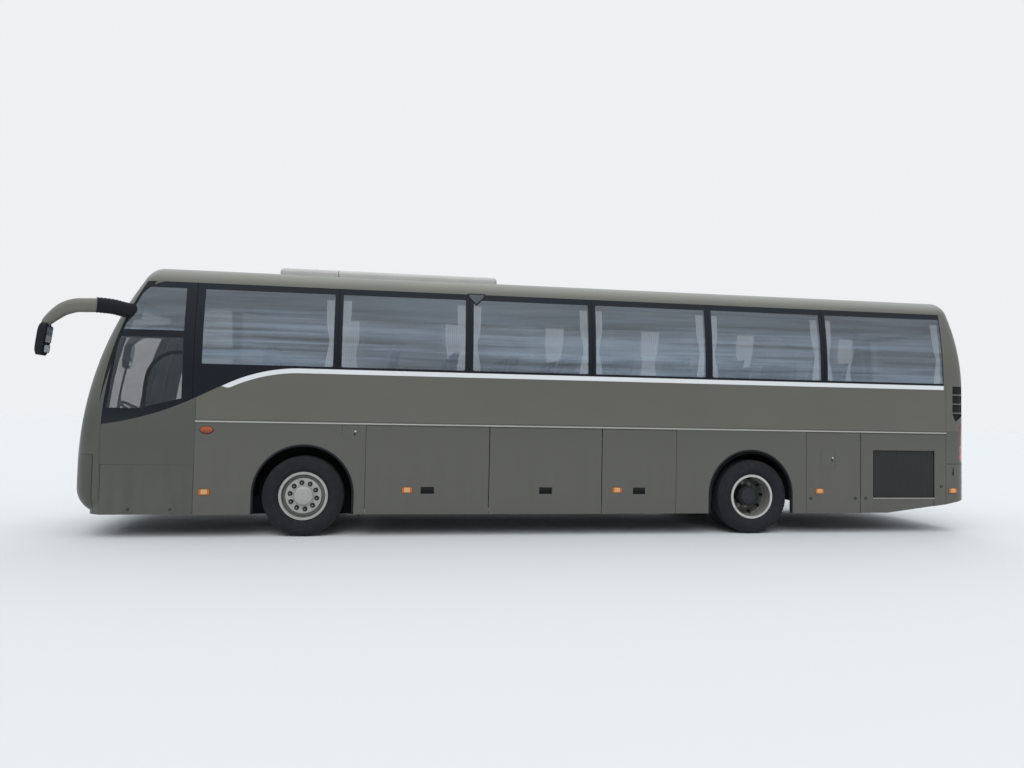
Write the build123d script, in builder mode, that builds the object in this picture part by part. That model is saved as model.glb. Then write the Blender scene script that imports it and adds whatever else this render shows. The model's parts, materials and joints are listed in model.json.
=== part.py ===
"""Two-axle touring coach with an underfloor luggage deck and a rear engine.

The body is a hollow shell split where the real panels meet. The shell's form is one lengthwise
section, cut off in front and behind by faces that are bowed in plan and curved in side view.
+X is forward, +Y is the driver's side, and Z is height above the ground. All sizes are in millimetres.
"""

from build123d import *
from math import asin, degrees, radians, sin
import os

# Overall sizes
WHEELBASE = 6050
FRONT_OVERHANG = 2825
REAR_OVERHANG = 3405
MIRROR_REACH = 300
BODY_WIDTH = 2550
SKIRT_Z = 285
WAIST_Z = 2118
CANT_Z = 3180
MOULDING_Z = 1425
FLOOR_Z = 1330
FLOOR_THICKNESS = 40
WALL = 45
GLASS = 6
SEAT_GAP = 0.3
DOOR_GAP = 5

# The lengthwise section: a straight side, a slow tumblehome, a tight roof edge and a crowned roof
TUMBLEHOME_R = 4700
TUMBLEHOME_ARC = 12.7
ROOF_EDGE_R = 270
ROOF_EDGE_ARC = 70

# The nose and the tail: bow in plan, curve in side view, and the rounding of their corners
NOSE_BOW_R = 5000
NOSE_R = 4470
NOSE_FLAT_Z = 826
NOSE_CORNER_R = 250
CHIN_Z = 600
CHIN_R = 330
CHIN_ARC = 58
TAIL_BOW_R = 8000
TAIL_R = 3900
TAIL_FLAT_Z = 2000
TAIL_CORNER_R = 210

# Wheels and axles
TYRE_R = 507
TYRE_WIDTH = 295
AXLE_Z = TYRE_R
RIM_R = 286
BEAD_Y = 104
BEAD_TOP_R = 310
BULGE_R = 410
BULGE_STEP = 52
BULGE_DROP = 9
TREAD_Y = 122
SHOULDER = 18
TWIN_PITCH = 340
FLANGE_R = RIM_R + 18
FLANGE_Y = 115
FLANGE = 9
BOLT_FACE_R = 222
HAND_HOLES = 10
HAND_HOLE_R = 21
HAND_HOLE_PLACE = 248
FRONT_DISH = 84
REAR_DISH = TWIN_PITCH / 2
DISH_FOOT = 76
DISC = 14
CAP_R = 126
CAP_TOP_R = 70
CAP_REACH = 44
TYRE_INSET = 25
KINGPIN_Y = 905
KINGPIN_R = 24
RUNNING_GAP = 0.05
STUB_R = 45
HUB_R = 140
FRONT_ARCH_R = 605
REAR_ARCH_R = 597
REAR_ARCH_SHIFT = 40
ARCH_TOP_Z = 1138
LINER_THICKNESS = 12
FRONT_LINER_Y = 520
REAR_LINER_Y = 575
LINER_WALL_Z = AXLE_Z + HUB_R + 15

# Worked-out places
HALF = BODY_WIDTH / 2
FRONT_AXLE = (WHEELBASE + REAR_OVERHANG - FRONT_OVERHANG - MIRROR_REACH) / 2
REAR_AXLE = FRONT_AXLE - WHEELBASE
NOSE = FRONT_AXLE + FRONT_OVERHANG
TAIL = REAR_AXLE - REAR_OVERHANG
TAIL_RISE_START = FRONT_AXLE - 8100
TAIL_RISE_AT_SEAM = 120
TAIL_RISE_AT_BUMPER = 180
TAIL_RISE_AT_TAIL = 290
LEFT = 1
RIGHT = -1
REACH = 1600
ROOF_CLEAR = 3700

# Seams of the lower side, from the nose back
CAB_SEAM = FRONT_AXLE + 1310
NOSE_SEAM = FRONT_AXLE + 2400
ARCH_SEAM = FRONT_AXLE - 761
BAY_1_SEAM = ARCH_SEAM - 1593
BAY_2_SEAM = BAY_1_SEAM - 1522
BAY_3_SEAM = BAY_2_SEAM - 1046
HATCH_SEAM = BAY_3_SEAM - 1909
ENGINE_SEAM = HATCH_SEAM - 834
TAIL_SEAM = ENGINE_SEAM - 1352
CAB_HATCH_TOP_Z = 893
CAB_HATCH_FRONT = NOSE_SEAM - 14
ROOF_FRONT = FRONT_AXLE + 1500

# The dark glass band: its level sill sweeps down in two arcs and a slope to the driver's window
GLASS_REAR = FRONT_AXLE - 8980
GLASS_TOP_Z = 3165
SWEEP_START = 60
SWEEP_TOP_R = 2000
SWEEP_ANGLE = 27
SWEEP_SLOPE = 396
SWEEP_FOOT_R = 3487
SWEEP_FOOT_ARC = 18.6
SWEEP_FOOT_Z = 1378
A_PILLAR_MIDDLE = (FRONT_AXLE + 2271, 2231)
A_PILLAR_TOP = (FRONT_AXLE + 2049, 2912)
SHOULDER_MIDDLE = (FRONT_AXLE + 1930, 3078)
SHOULDER_END = (FRONT_AXLE + 1730, GLASS_TOP_Z)

# The windscreen and the rear window
SCREEN_BOTTOM_Z = 1320
SCREEN_TOP_Z = 2990
SCREEN_FOOT_Y = 1120
SCREEN_HEAD_Y = 1000
SCREEN_CORNER_R = 120
REAR_WINDOW_TOP_Z = 2980
REAR_WINDOW_FOOT_Y = 1010
REAR_WINDOW_HEAD_Y = 930
FRONT_DOOR_TOP_Z = 2440
MID_DOOR_TOP_Z = 2330

PANE_CORNER_R = 40
PANE_GAP = 3
CAB_PANE_FRAME = 60
CAB_DIVIDER_Z = 2440
CAB_DIVIDER = 90
DOOR_BOTTOM_Z = 300
DOOR_PILLAR = 60
BUMPER_SEAM = NOSE_SEAM + 58
BUMPER_TOP_Z = 1014
REAR_BUMPER_TOP_Z = 993
ENGINE_DOOR_TOP_Z = 1690
ENGINE_DOOR_BOTTOM_Z = 625
ENGINE_DOOR_Y = 900

# Hinges of the flaps: a bead under the wall above, and a groove in the flap's top edge
HINGE_INSET = 8
HINGE_DROP = 16
HINGE_R = 5
HINGE_GAP = 0.08
HINGE_NECK = 3
RAIL_PROUD = 8
RAIL_LIP = 2
RAIL_HEIGHT = 14

ENGINE_HINGE = 400
HATCH_HINGE = 300

# Seams that only show as grooves, and the finger cups with their paddles in the luggage doors
GROOVE = 3
GROOVE_DEPTH = 4
HANDLE_XS = [FRONT_AXLE + x for x in (-1556, -3111, -4397)]
HANDLE_Z = 588
HANDLE = (172, 88)
HANDLE_DEPTH = 22
PADDLE_HEIGHT = 42
PADDLE_INSET = 4

# Grille of the left engine side door: upright slats in a pocket, and the crease that folds in below it
GRILLE_FRONT = ENGINE_SEAM - 193
GRILLE_REAR = TAIL_SEAM + 187
GRILLE_BOTTOM_Z = 504
GRILLE_TOP_Z = 1173
GRILLE_DEPTH = 30
GRILLE_FRAME = 14
SLAT_COUNT = 32
SLAT = 7
SLAT_DEPTH = 24
SLAT_LEAN = 35
CREASE_IN = 22

# Air outlets of the rear corners: cells above each other, the lowest cut off on a slant
VENT_FRONT = FRONT_AXLE - 9122
VENT_REAR = FRONT_AXLE - 9350
VENT_TOP_Z = 2110
VENT_PITCH = 132
VENT_HEIGHT = 112
VENT_COUNT = 4
VENT_DEPTH = 20

# Small lids in the left side, which stay shut: one over the front wheel's arch, one in the locker door
FILLER_LID_X = (FRONT_AXLE - 660, FRONT_AXLE - 463)
FILLER_LID_Z = (1230, 1411)
LOCKER_LID_X = (FRONT_AXLE - 7271, FRONT_AXLE - 7055)
LOCKER_LID_Z = (917, 1171)

# Passenger door gear: a turning post, two arms and the pins on the door
POST_R = 20
POST_Y = HALF - 130
ARM_LENGTH = 520
ARM_SIZE = 34
ARM_ZS = (700, 1120)
POST_BOTTOM_Z = 500
POST_TOP_Z = 1285
DOOR_POST_INSET = 100
DOOR_EAR = 20
DOOR_RAIL = 55
DOOR_FRAME = 20
DOOR_GLASS_BOTTOM_Z = 1330
BEARING = 40
BEARING_FOOT = (2, 14)
SCREEN_FRAME = 45
ROOF_HATCH_X = (FRONT_AXLE - 7300, FRONT_AXLE - 6500)
ROOF_HATCH_Y = 330
DOOR_PIN_R = 12
EYE_R = 30

# Chassis
RAIL_Y = 400
RAIL_WIDTH = 80
RAIL_BOTTOM_Z = 620
RAIL_TOP_Z = 860
LOW_RAIL_BOTTOM_Z = 340
LOW_RAIL_TOP_Z = 400
CROSS_MEMBER = 80
BAY_FLOOR_TOP_Z = 425
ENGINE_REAR = TAIL + 480
ENGINE_LENGTH = 1520
ENGINE_TOP_Z = 1240
TOW_EYE = 100
TOW_EYE_THICKNESS = 40
TOW_EYE_R = 25
TOW_ARM = 60
CAB_FLOOR_Z = 980
BULKHEAD = 30
TRIM_GAP = 12

RAIL_DECK_Y = HALF - WALL - TRIM_GAP
STAIR_Y = 650
JAMB_SPACE = 20
COOLER_FRONT = FRONT_AXLE + 416
COOLER_JOINT = FRONT_AXLE - 337
COOLER_REAR = FRONT_AXLE - 2463
COOLER_GAP = 4
COOLER_Y = 880
COOLER_EDGE_Z = 3455
COOLER_TOP_Z = 3500
COOLER_EDGE_R = 55
MIRROR_Y = 1440
MIRROR_ARM = (120, 176)
MIRROR_BELLOWS = (146, 206)
MIRROR_BELLOWS_END = FRONT_AXLE + 2450
MIRROR_HEAD = (140, 220)
MIRROR_HEAD_ZS = (2180, 2580)
MIRROR_CORNER_R = 45

# Seats
SEAT_ROWS = 11
SEAT_FRONT = FRONT_AXLE + 1150
SEAT_PITCH = 800
SEAT_AISLE_Y = 220
SEAT_WIDTH = 450
SEAT_SPACE = 20
SEAT_LEG = 60
CUSHION_BOTTOM = 330
CUSHION_TOP = 460
CUSHION_LENGTH = 430
BACK_THICKNESS = 105
BACK_TOP = 1110
BACK_LEAN = 190
SEAT_EDGE_R = 40
DRIVER_SEAT_X = FRONT_AXLE + 1960
DRIVER_SEAT_Y = 400

# Luggage racks, curtains and wipers
RACK_Y = 700
RACK_Z = 3030
RACK_SHELF = 30
RACK_LIP = 110
CURTAIN = 25
CURTAIN_SHOWS = 110
WIPER_PROUD = 22
WIPER_ARM = 22
WIPER_BOSS = 30
WIPER_BLADE = 700
WIPERS = [((-520, 1240), (-330, 1780)), ((520, 1240), (330, 1780))]

# Lamps of the sides: distance from the front axle, height, length and height of the lens
LAMPS = [
    (1174, 1322, 166, 98),
    (1179, 560, 137, 78),
    (-1297, 591, 137, 78),
    (-4090, 598, 137, 78),
    (-7035, 592, 137, 78),
    (-9126, 602, 137, 78),
]
LAMP_PROUD = 9
HEADLAMP = (420, 200)
HEADLAMP_PLACE = (900, 820)
TAIL_LAMP = (282, 600)
TAIL_LAMP_PLACE = (1121, 1300)
LAMP_CORNER_R = 60

# Running gear
FRONT_LINER_R = 650
REAR_LINER_R = 600
FRONT_STUB_Y = 1150
REAR_STUB_Y = 1080
RIM_WALL = 14
STEERING_WHEEL_R = 225
STEERING_GRIP = 14
AXLE_TUBE_R = 75
DIFF_R = 205
BELLOWS_R = 110
EYE_HEIGHT = 100
EAR_HEIGHT = 42
EAR_GAP = 6

# Side windows: the centre of each pillar, from the driver's pillar back, and the pillar's width
PILLARS = [FRONT_AXLE + x for x in (1353, -380, -2064, -3723, -5382, -7104)]
PILLAR_WIDTH = 105
WINDOW_REAR = FRONT_AXLE - 8967
WINDOW_BOTTOM_Z = 2145
WINDOW_TOP_Z = 3085

os.makedirs("parts", exist_ok=True)


def finish(part, name):
    """Label a finished piece and write it out."""
    part.label = name
    export_step(part, "parts/" + name + ".step")


def block(x, y, z, mode=Mode.ADD):
    """A box between two corners, joined to the part that is being built."""
    with Locations(((x[0] + x[1]) / 2, (y[0] + y[1]) / 2, (z[0] + z[1]) / 2)):
        Box(abs(x[1] - x[0]), abs(y[1] - y[0]), abs(z[1] - z[0]), mode=mode)


def section(inset):
    """The body's cross section, drawn in by a wall thickness; it is open below the skirt."""
    with BuildSketch(Plane.YZ) as outline:
        with BuildLine():
            sill = Line((0, 0), (HALF - inset, 0))
            side = Line(sill @ 1, (HALF - inset, WAIST_Z))
            tumblehome = JernArc(side @ 1, side % 1, TUMBLEHOME_R - inset, TUMBLEHOME_ARC)
            edge = JernArc(tumblehome @ 1, tumblehome % 1, ROOF_EDGE_R - inset, ROOF_EDGE_ARC)
            crown_arc = 90 - TUMBLEHOME_ARC - ROOF_EDGE_ARC
            crown = JernArc(edge @ 1, edge % 1, (edge @ 1).X / sin(radians(crown_arc)), crown_arc)
            Line(crown @ 1, (0, 0))
        make_face()
        mirror(about=Plane.YZ)
    return outline.sketch


def nose_form(inset):
    """A solid of revolution about an upright axis behind the nose: bowed in plan, curved in side view."""
    face_x = NOSE - inset
    axis_x = NOSE - NOSE_BOW_R
    with BuildPart() as form:
        with BuildSketch(Plane.XZ):
            with BuildLine():
                lean = degrees(asin((ROOF_CLEAR - NOSE_FLAT_Z) / (NOSE_R - inset)))
                screen = CenterArc((face_x - NOSE_R + inset, NOSE_FLAT_Z), NOSE_R - inset, 0, lean)
                front = Line(screen @ 0, (face_x, CHIN_Z))
                chin = JernArc(front @ 1, front % 1, CHIN_R - inset, -CHIN_ARC)
                Polyline(chin @ 1, ((chin @ 1).X, -10), (axis_x, -10), (axis_x, ROOF_CLEAR), screen @ 1)
            make_face()
        revolve(axis=Axis((axis_x, 0, 0), (0, 0, 1)))
    return form.part


def tail_form(inset):
    """The same for the tail, with its upright axis ahead of it."""
    face_x = TAIL + inset
    axis_x = TAIL + TAIL_BOW_R
    with BuildPart() as form:
        with BuildSketch(Plane.XZ):
            with BuildLine():
                lean = degrees(asin((ROOF_CLEAR - TAIL_FLAT_Z) / (TAIL_R - inset)))
                curve = CenterArc((face_x + TAIL_R - inset, TAIL_FLAT_Z), TAIL_R - inset, 180, -lean)
                Polyline(curve @ 1, (axis_x, ROOF_CLEAR), (axis_x, -10), (face_x, -10), curve @ 0)
            make_face()
        revolve(axis=Axis((axis_x, 0, 0), (0, 0, 1)))
    return form.part


def is_corner(edge):
    """True for the upright edges and the roof edges of the nose or tail."""
    place = edge.center()
    at_end = place.X > NOSE - 1200 or place.X < TAIL + 600
    return at_end and edge.length > 60 and place.Z > 5 and (abs(place.Y) > HALF / 2 or place.Z > CANT_Z)


def envelope(inset):
    """The body's outer form, or the same form drawn in by an inset."""
    with BuildPart() as front:
        extrude(section(inset), amount=NOSE, dir=(1, 0, 0))
        add(nose_form(inset), mode=Mode.INTERSECT)
        fillet(front.edges().filter_by(is_corner), NOSE_CORNER_R - inset)
    with BuildPart() as form:
        extrude(section(inset), amount=-TAIL, dir=(-1, 0, 0))
        add(tail_form(inset), mode=Mode.INTERSECT)
        fillet(form.edges().filter_by(is_corner), TAIL_CORNER_R - inset)
        add(front.part)
    return form.part


OUTER = envelope(0)
CROWN_Z = OUTER.bounding_box().max.Z
RECESSED = envelope(GLASS + SEAT_GAP)

INNER = envelope(WALL + SEAT_GAP)

with BuildPart() as wall:
    add(OUTER)
    add(envelope(WALL), mode=Mode.SUBTRACT)

with BuildPart() as glass_layer:
    add(OUTER)
    add(envelope(GLASS), mode=Mode.SUBTRACT)

with BuildPart() as rebate_layer:
    add(envelope(-10))
    add(RECESSED, mode=Mode.SUBTRACT)


with BuildPart() as vent_layer:
    add(envelope(-10))
    add(envelope(VENT_DEPTH), mode=Mode.SUBTRACT)


def across(outline, side=0, mode=Mode.INTERSECT):
    """Keep or cut what lies within an outline drawn in side view, on one side or right across."""
    if side:
        extrude(outline, amount=REACH, dir=(0, side, 0), mode=mode)
    else:
        extrude(outline, amount=REACH, both=True, mode=mode)


def along(outline, direction, mode=Mode.INTERSECT):
    """Keep or cut what lies within an outline drawn in end view, ahead of the middle or behind it."""
    extrude(outline, amount=NOSE - TAIL, dir=(direction, 0, 0), mode=mode)


def box_outline(x0, x1, z0, z1):
    """A plain rectangle in side view."""
    with BuildSketch(Plane.XZ) as outline:
        with Locations(((x0 + x1) / 2, (z0 + z1) / 2)):
            Rectangle(abs(x1 - x0), abs(z1 - z0))
    return outline.sketch


def glazing_outline(inset=0):
    """The dark glass band in side view: a level sill that sweeps down to the driver's window."""
    with BuildSketch(Plane.XZ) as outline:
        with BuildLine():
            sill = Line((GLASS_REAR, WAIST_Z), (FRONT_AXLE + SWEEP_START, WAIST_Z))
            drop = JernArc(sill @ 1, sill % 1, SWEEP_TOP_R, -SWEEP_ANGLE)
            slope = Line(drop @ 1, (drop @ 1) + (drop % 1) * SWEEP_SLOPE)
            foot = JernArc(slope @ 1, slope % 1, SWEEP_FOOT_R, SWEEP_FOOT_ARC)
            pillar = ThreePointArc(foot @ 1, A_PILLAR_MIDDLE, A_PILLAR_TOP)
            shoulder = ThreePointArc(pillar @ 1, SHOULDER_MIDDLE, SHOULDER_END)
            Polyline(shoulder @ 1, (GLASS_REAR, GLASS_TOP_Z), sill @ 0)
        make_face()
        if inset:
            offset(amount=-inset, mode=Mode.REPLACE)
    return outline.sketch


def side_outline():
    """The side of the body: all that lies behind the nose panel and ahead of the tail panel."""
    with BuildSketch(Plane.XZ) as outline:
        add(glazing_outline())
        with BuildLine():
            Polyline(
                (TAIL_SEAM, 0),
                (NOSE_SEAM, 0),
                (NOSE_SEAM, SWEEP_FOOT_Z),
                (FRONT_AXLE + SWEEP_START, WAIST_Z + 100),
                (SHOULDER_END[0], GLASS_TOP_Z),
                (SHOULDER_END[0], CANT_Z),
                (TAIL_SEAM, CANT_Z),
                close=True,
            )
        make_face()
    return outline.sketch


def windscreen_outline(inset=0):
    """The windscreen in front view: wider at its foot, with rounded corners."""
    with BuildSketch(Plane.YZ) as outline:
        with BuildLine():
            Polyline(
                (-SCREEN_FOOT_Y, SCREEN_BOTTOM_Z),
                (SCREEN_FOOT_Y, SCREEN_BOTTOM_Z),
                (SCREEN_HEAD_Y, SCREEN_TOP_Z),
                (-SCREEN_HEAD_Y, SCREEN_TOP_Z),
                close=True,
            )
        make_face()
        fillet(outline.vertices(), SCREEN_CORNER_R)
        if inset:
            offset(amount=-inset, mode=Mode.REPLACE)
    return outline.sketch


def rear_window_outline(inset=0):
    """The rear window in end view."""
    with BuildSketch(Plane.YZ) as outline:
        with BuildLine():
            Polyline(
                (-REAR_WINDOW_FOOT_Y, WINDOW_BOTTOM_Z),
                (REAR_WINDOW_FOOT_Y, WINDOW_BOTTOM_Z),
                (REAR_WINDOW_HEAD_Y, REAR_WINDOW_TOP_Z),
                (-REAR_WINDOW_HEAD_Y, REAR_WINDOW_TOP_Z),
                close=True,
            )
        make_face()
        fillet(outline.vertices(), SCREEN_CORNER_R)
        if inset:
            offset(amount=-inset, mode=Mode.REPLACE)
    return outline.sketch


def tail_rise():
    """The wedge cut away under the tail, where the skirt rises to the bumper."""
    with BuildSketch(Plane.XZ) as outline:
        with BuildLine():
            Polyline(
                (TAIL_RISE_START, SKIRT_Z),
                (TAIL_SEAM, SKIRT_Z + TAIL_RISE_AT_SEAM),
                (TAIL + 150, SKIRT_Z + TAIL_RISE_AT_BUMPER),
                (TAIL - 50, SKIRT_Z + TAIL_RISE_AT_TAIL),
                (TAIL - 50, -50),
                (TAIL_RISE_START, -50),
                close=True,
            )
        make_face()
    return outline.sketch


def arch_outline(centre_x, radius, top_z):
    """A wheel arch: a half circle on two upright legs."""
    with BuildSketch(Plane.XZ) as outline:
        with Locations((centre_x, top_z - radius)):
            Circle(radius)
        with Locations((centre_x, (top_z - radius) / 2)):
            Rectangle(2 * radius, top_z - radius)
    return outline.sketch


FRONT_ARCH = arch_outline(FRONT_AXLE, FRONT_ARCH_R, ARCH_TOP_Z)
REAR_ARCH = arch_outline(REAR_AXLE + REAR_ARCH_SHIFT, REAR_ARCH_R, ARCH_TOP_Z)
BELOW_SKIRT = box_outline(TAIL - 50, NOSE + 50, -50, SKIRT_Z)

# Hinged flaps of the lower sides: name, side, front edge, rear edge, bottom edge, top edge
FLAPS = [
    ("luggage_door_left_1", LEFT, ARCH_SEAM, BAY_1_SEAM, SKIRT_Z, MOULDING_Z),
    ("luggage_door_left_2", LEFT, BAY_1_SEAM, BAY_2_SEAM, SKIRT_Z, MOULDING_Z),
    ("luggage_door_left_3", LEFT, BAY_2_SEAM, BAY_3_SEAM, SKIRT_Z, MOULDING_Z),
    ("luggage_door_right_1", RIGHT, ARCH_SEAM, BAY_1_SEAM, SKIRT_Z, MOULDING_Z),
    ("luggage_door_right_2", RIGHT, BAY_1_SEAM, BAY_2_SEAM, SKIRT_Z, MOULDING_Z),
    ("cab_hatch", LEFT, CAB_HATCH_FRONT, CAB_SEAM, SKIRT_Z, CAB_HATCH_TOP_Z),
    ("locker_door_left", LEFT, HATCH_SEAM, ENGINE_SEAM, SKIRT_Z, MOULDING_Z),
    ("locker_door_right", RIGHT, HATCH_SEAM, ENGINE_SEAM, SKIRT_Z, MOULDING_Z),
    ("engine_side_door_left", LEFT, ENGINE_SEAM, TAIL_SEAM, SKIRT_Z, MOULDING_Z),
    ("engine_side_door_right", RIGHT, ENGINE_SEAM, TAIL_SEAM, SKIRT_Z, MOULDING_Z),
]

# Passenger doors on the right side: name, front edge, rear edge, top edge, and which way it swings
DOORS = [
    ("front_door", NOSE_SEAM - DOOR_PILLAR, CAB_SEAM, FRONT_DOOR_TOP_Z, 1),
    ("mid_door", BAY_2_SEAM - 40, BAY_3_SEAM + 90, MID_DOOR_TOP_Z, -1),
]


def engine_door_outline(inset=0):
    """The engine door in end view."""
    with BuildSketch(Plane.YZ) as outline:
        with Locations((0, (ENGINE_DOOR_BOTTOM_Z + ENGINE_DOOR_TOP_Z) / 2)):
            RectangleRounded(2 * (ENGINE_DOOR_Y - inset), ENGINE_DOOR_TOP_Z - ENGINE_DOOR_BOTTOM_Z - 2 * inset,
                             PANE_CORNER_R)
    return outline.sketch


def door_glass_outline(front, rear, top, inset=0):
    """The window of a passenger door in side view."""
    with BuildSketch(Plane.XZ) as outline:
        add(door_outline(front, rear, top, DOOR_GAP + DOOR_RAIL))
        add(box_outline(rear, front, DOOR_GLASS_BOTTOM_Z, top), mode=Mode.INTERSECT)
        if inset:
            offset(amount=-inset, mode=Mode.REPLACE)
    return outline.sketch


def post_place(front, rear, swing):
    """Where a passenger door's turning post stands: inside the edge that the door swings towards."""
    return front - DOOR_POST_INSET if swing > 0 else rear + DOOR_POST_INSET


def hinge_cut(direction, outer_y, axis_z, x):
    """The groove and the open corner that let a flap turn about the bead above it."""
    axis_y = outer_y - direction * HINGE_INSET
    with Locations(Plane((x[0], axis_y, axis_z), x_dir=(0, 1, 0), z_dir=(1, 0, 0))):
        Cylinder(HINGE_R + HINGE_GAP, x[1] - x[0], align=(Align.CENTER, Align.CENTER, Align.MIN),
                 mode=Mode.SUBTRACT)
    mouth = HINGE_NECK / 2 + 1
    block(x, (axis_y - direction * mouth, outer_y + direction), (axis_z - mouth, axis_z + HINGE_DROP),
          mode=Mode.SUBTRACT)


def hinge_bead(direction, outer_y, axis_z, x, trim):
    """The bead, its neck and, under the waist rail, the rail itself."""
    axis_y = outer_y - direction * HINGE_INSET
    top_z = axis_z + HINGE_DROP
    with Locations(Plane((x[0], axis_y, axis_z), x_dir=(0, 1, 0), z_dir=(1, 0, 0))):
        Cylinder(HINGE_R, x[1] - x[0], align=(Align.CENTER, Align.CENTER, Align.MIN))
    block(x, (axis_y - HINGE_NECK / 2, axis_y + HINGE_NECK / 2), (axis_z, top_z))
    if trim:
        block(x, (axis_y - HINGE_NECK / 2, outer_y + direction * RAIL_PROUD), (top_z - RAIL_LIP, top_z))


def headlamp_outline(side, inset=0):
    """A headlamp in front view."""
    with BuildSketch(Plane.YZ) as outline:
        with Locations((side * HEADLAMP_PLACE[0], HEADLAMP_PLACE[1])):
            RectangleRounded(HEADLAMP[0] - 2 * inset, HEADLAMP[1] - 2 * inset, LAMP_CORNER_R)
    return outline.sketch


def tail_lamp_outline(side, inset=0):
    """A tail lamp in end view."""
    with BuildSketch(Plane.YZ) as outline:
        with Locations((side * TAIL_LAMP_PLACE[0], TAIL_LAMP_PLACE[1])):
            RectangleRounded(TAIL_LAMP[0] - 2 * inset, TAIL_LAMP[1] - 2 * inset, LAMP_CORNER_R)
    return outline.sketch


def end_piece(layer, outline, direction):
    """What lies within an outline drawn in end view, of a layer that follows the surface."""
    with BuildPart() as piece:
        add(layer.part)
        along(outline, direction)
    return piece.part


def side_piece(layer, outline, side):
    """The same within an outline drawn in side view."""
    with BuildPart() as piece:
        add(layer.part)
        across(outline, side)
    return piece.part


def cut_rebate(outline, direction):
    """Sink the surface by a glass thickness within an outline drawn in end view."""
    add(end_piece(rebate_layer, outline, direction), mode=Mode.SUBTRACT)


def cut_groove(side, x, z):
    """A narrow groove in the flat side, between two corners."""
    block(x, (side * (HALF - GROOVE_DEPTH), side * (HALF + 1)), z, mode=Mode.SUBTRACT)


def groove_loop(side, x, z):
    """Four grooves round a small fixed lid."""
    for edge in x:
        cut_groove(side, (edge - GROOVE / 2, edge + GROOVE / 2), (z[0] - GROOVE / 2, z[1] + GROOVE / 2))
    for edge in z:
        cut_groove(side, (x[0] + GROOVE / 2, x[1] - GROOVE / 2), (edge - GROOVE / 2, edge + GROOVE / 2))


def finger_cup(side, x, z):
    """A cup in a luggage door with the paddle of its lock across the upper half."""
    x_span = (x - HANDLE[0] / 2, x + HANDLE[0] / 2)
    top_z = z + HANDLE[1] / 2
    block(x_span, (side * (HALF - HANDLE_DEPTH), side * (HALF + 1)),
          (z - HANDLE[1] / 2, top_z - PADDLE_HEIGHT), mode=Mode.SUBTRACT)
    block(x_span, (side * (HALF - PADDLE_INSET), side * (HALF + 1)), (top_z - PADDLE_HEIGHT, top_z),
          mode=Mode.SUBTRACT)


def fold_outline(x, side, top_z, inward):
    """The wedge between the flat side and a panel that leans in towards the skirt, at one place along it."""
    with BuildSketch(Plane.YZ.offset(x)) as outline:
        with BuildLine():
            Polyline((side * (HALF - 0.01), top_z), (side * (HALF + 5), top_z),
                     (side * (HALF + 5), SKIRT_Z - 5), (side * (HALF - inward), SKIRT_Z - 5), close=True)
        make_face()
    return outline.sketch


def slatted_grille(side):
    """A pocket with leaning upright slats, and the panel below it folded in towards the skirt."""
    middle_x = (GRILLE_FRONT + GRILLE_REAR) / 2
    middle_z = (GRILLE_BOTTOM_Z + GRILLE_TOP_Z) / 2
    block((GRILLE_REAR, GRILLE_FRONT), (side * (HALF - GRILLE_DEPTH), side * (HALF + 1)),
          (GRILLE_BOTTOM_Z, GRILLE_TOP_Z), mode=Mode.SUBTRACT)
    pitch = (GRILLE_FRONT - GRILLE_REAR - 2 * GRILLE_FRAME) / SLAT_COUNT
    with Locations((middle_x, side * (HALF - GRILLE_DEPTH / 2 - 1), middle_z)):
        with GridLocations(pitch, 1, SLAT_COUNT, 1):
            Box(SLAT, SLAT_DEPTH, GRILLE_TOP_Z - GRILLE_BOTTOM_Z, rotation=(0, 0, side * SLAT_LEAN))
    fold_top_z = GRILLE_BOTTOM_Z - GRILLE_FRAME
    full = fold_outline(GRILLE_FRONT, side, fold_top_z, CREASE_IN)
    extrude(full, amount=GRILLE_FRONT - GRILLE_REAR, dir=(-1, 0, 0), mode=Mode.SUBTRACT)
    loft([full, fold_outline(ENGINE_SEAM - 20, side, SKIRT_Z + 15, 1)], ruled=True, mode=Mode.SUBTRACT)


def cross_hinge(axis_x, axis_z, length, radius, mode=Mode.ADD):
    """A hinge bead, or the groove for it, that runs across the body."""
    with Locations(Plane((axis_x, 0, axis_z), x_dir=(1, 0, 0), z_dir=(0, 1, 0))):
        Cylinder(radius, length, mode=mode)


def side_wall(side):
    """One side of the body: panels and window pillars, with the doorways, flaps and arches cut."""
    with BuildPart() as wall_side:
        add(wall.part)
        across(side_outline(), side)
        for outline in (BELOW_SKIRT, FRONT_ARCH, REAR_ARCH, tail_rise()):
            across(outline, 0, Mode.SUBTRACT)
        add(side_piece(rebate_layer, glazing_outline(), side), mode=Mode.SUBTRACT)
        for outline in window_openings():
            across(outline, side, Mode.SUBTRACT)
        for name, flap_side, front, rear, bottom, top in FLAPS:
            if flap_side == side:
                across(box_outline(rear, front, bottom - 1, top), side, Mode.SUBTRACT)
        if side == RIGHT:
            for name, front, rear, top, swing in DOORS:
                across(door_outline(front, rear, top), side, Mode.SUBTRACT)
        else:
            cut_groove(side, (CAB_SEAM - GROOVE / 2, CAB_SEAM + GROOVE / 2), (CAB_HATCH_TOP_Z - 1, WAIST_Z))
            groove_loop(side, FILLER_LID_X, FILLER_LID_Z)
        for x in (NOSE_SEAM - GROOVE / 2, TAIL_SEAM + GROOVE / 2):
            cut_groove(side, (x - GROOVE / 2, x + GROOVE / 2), (0, CANT_Z))
    return wall_side.part


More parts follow.
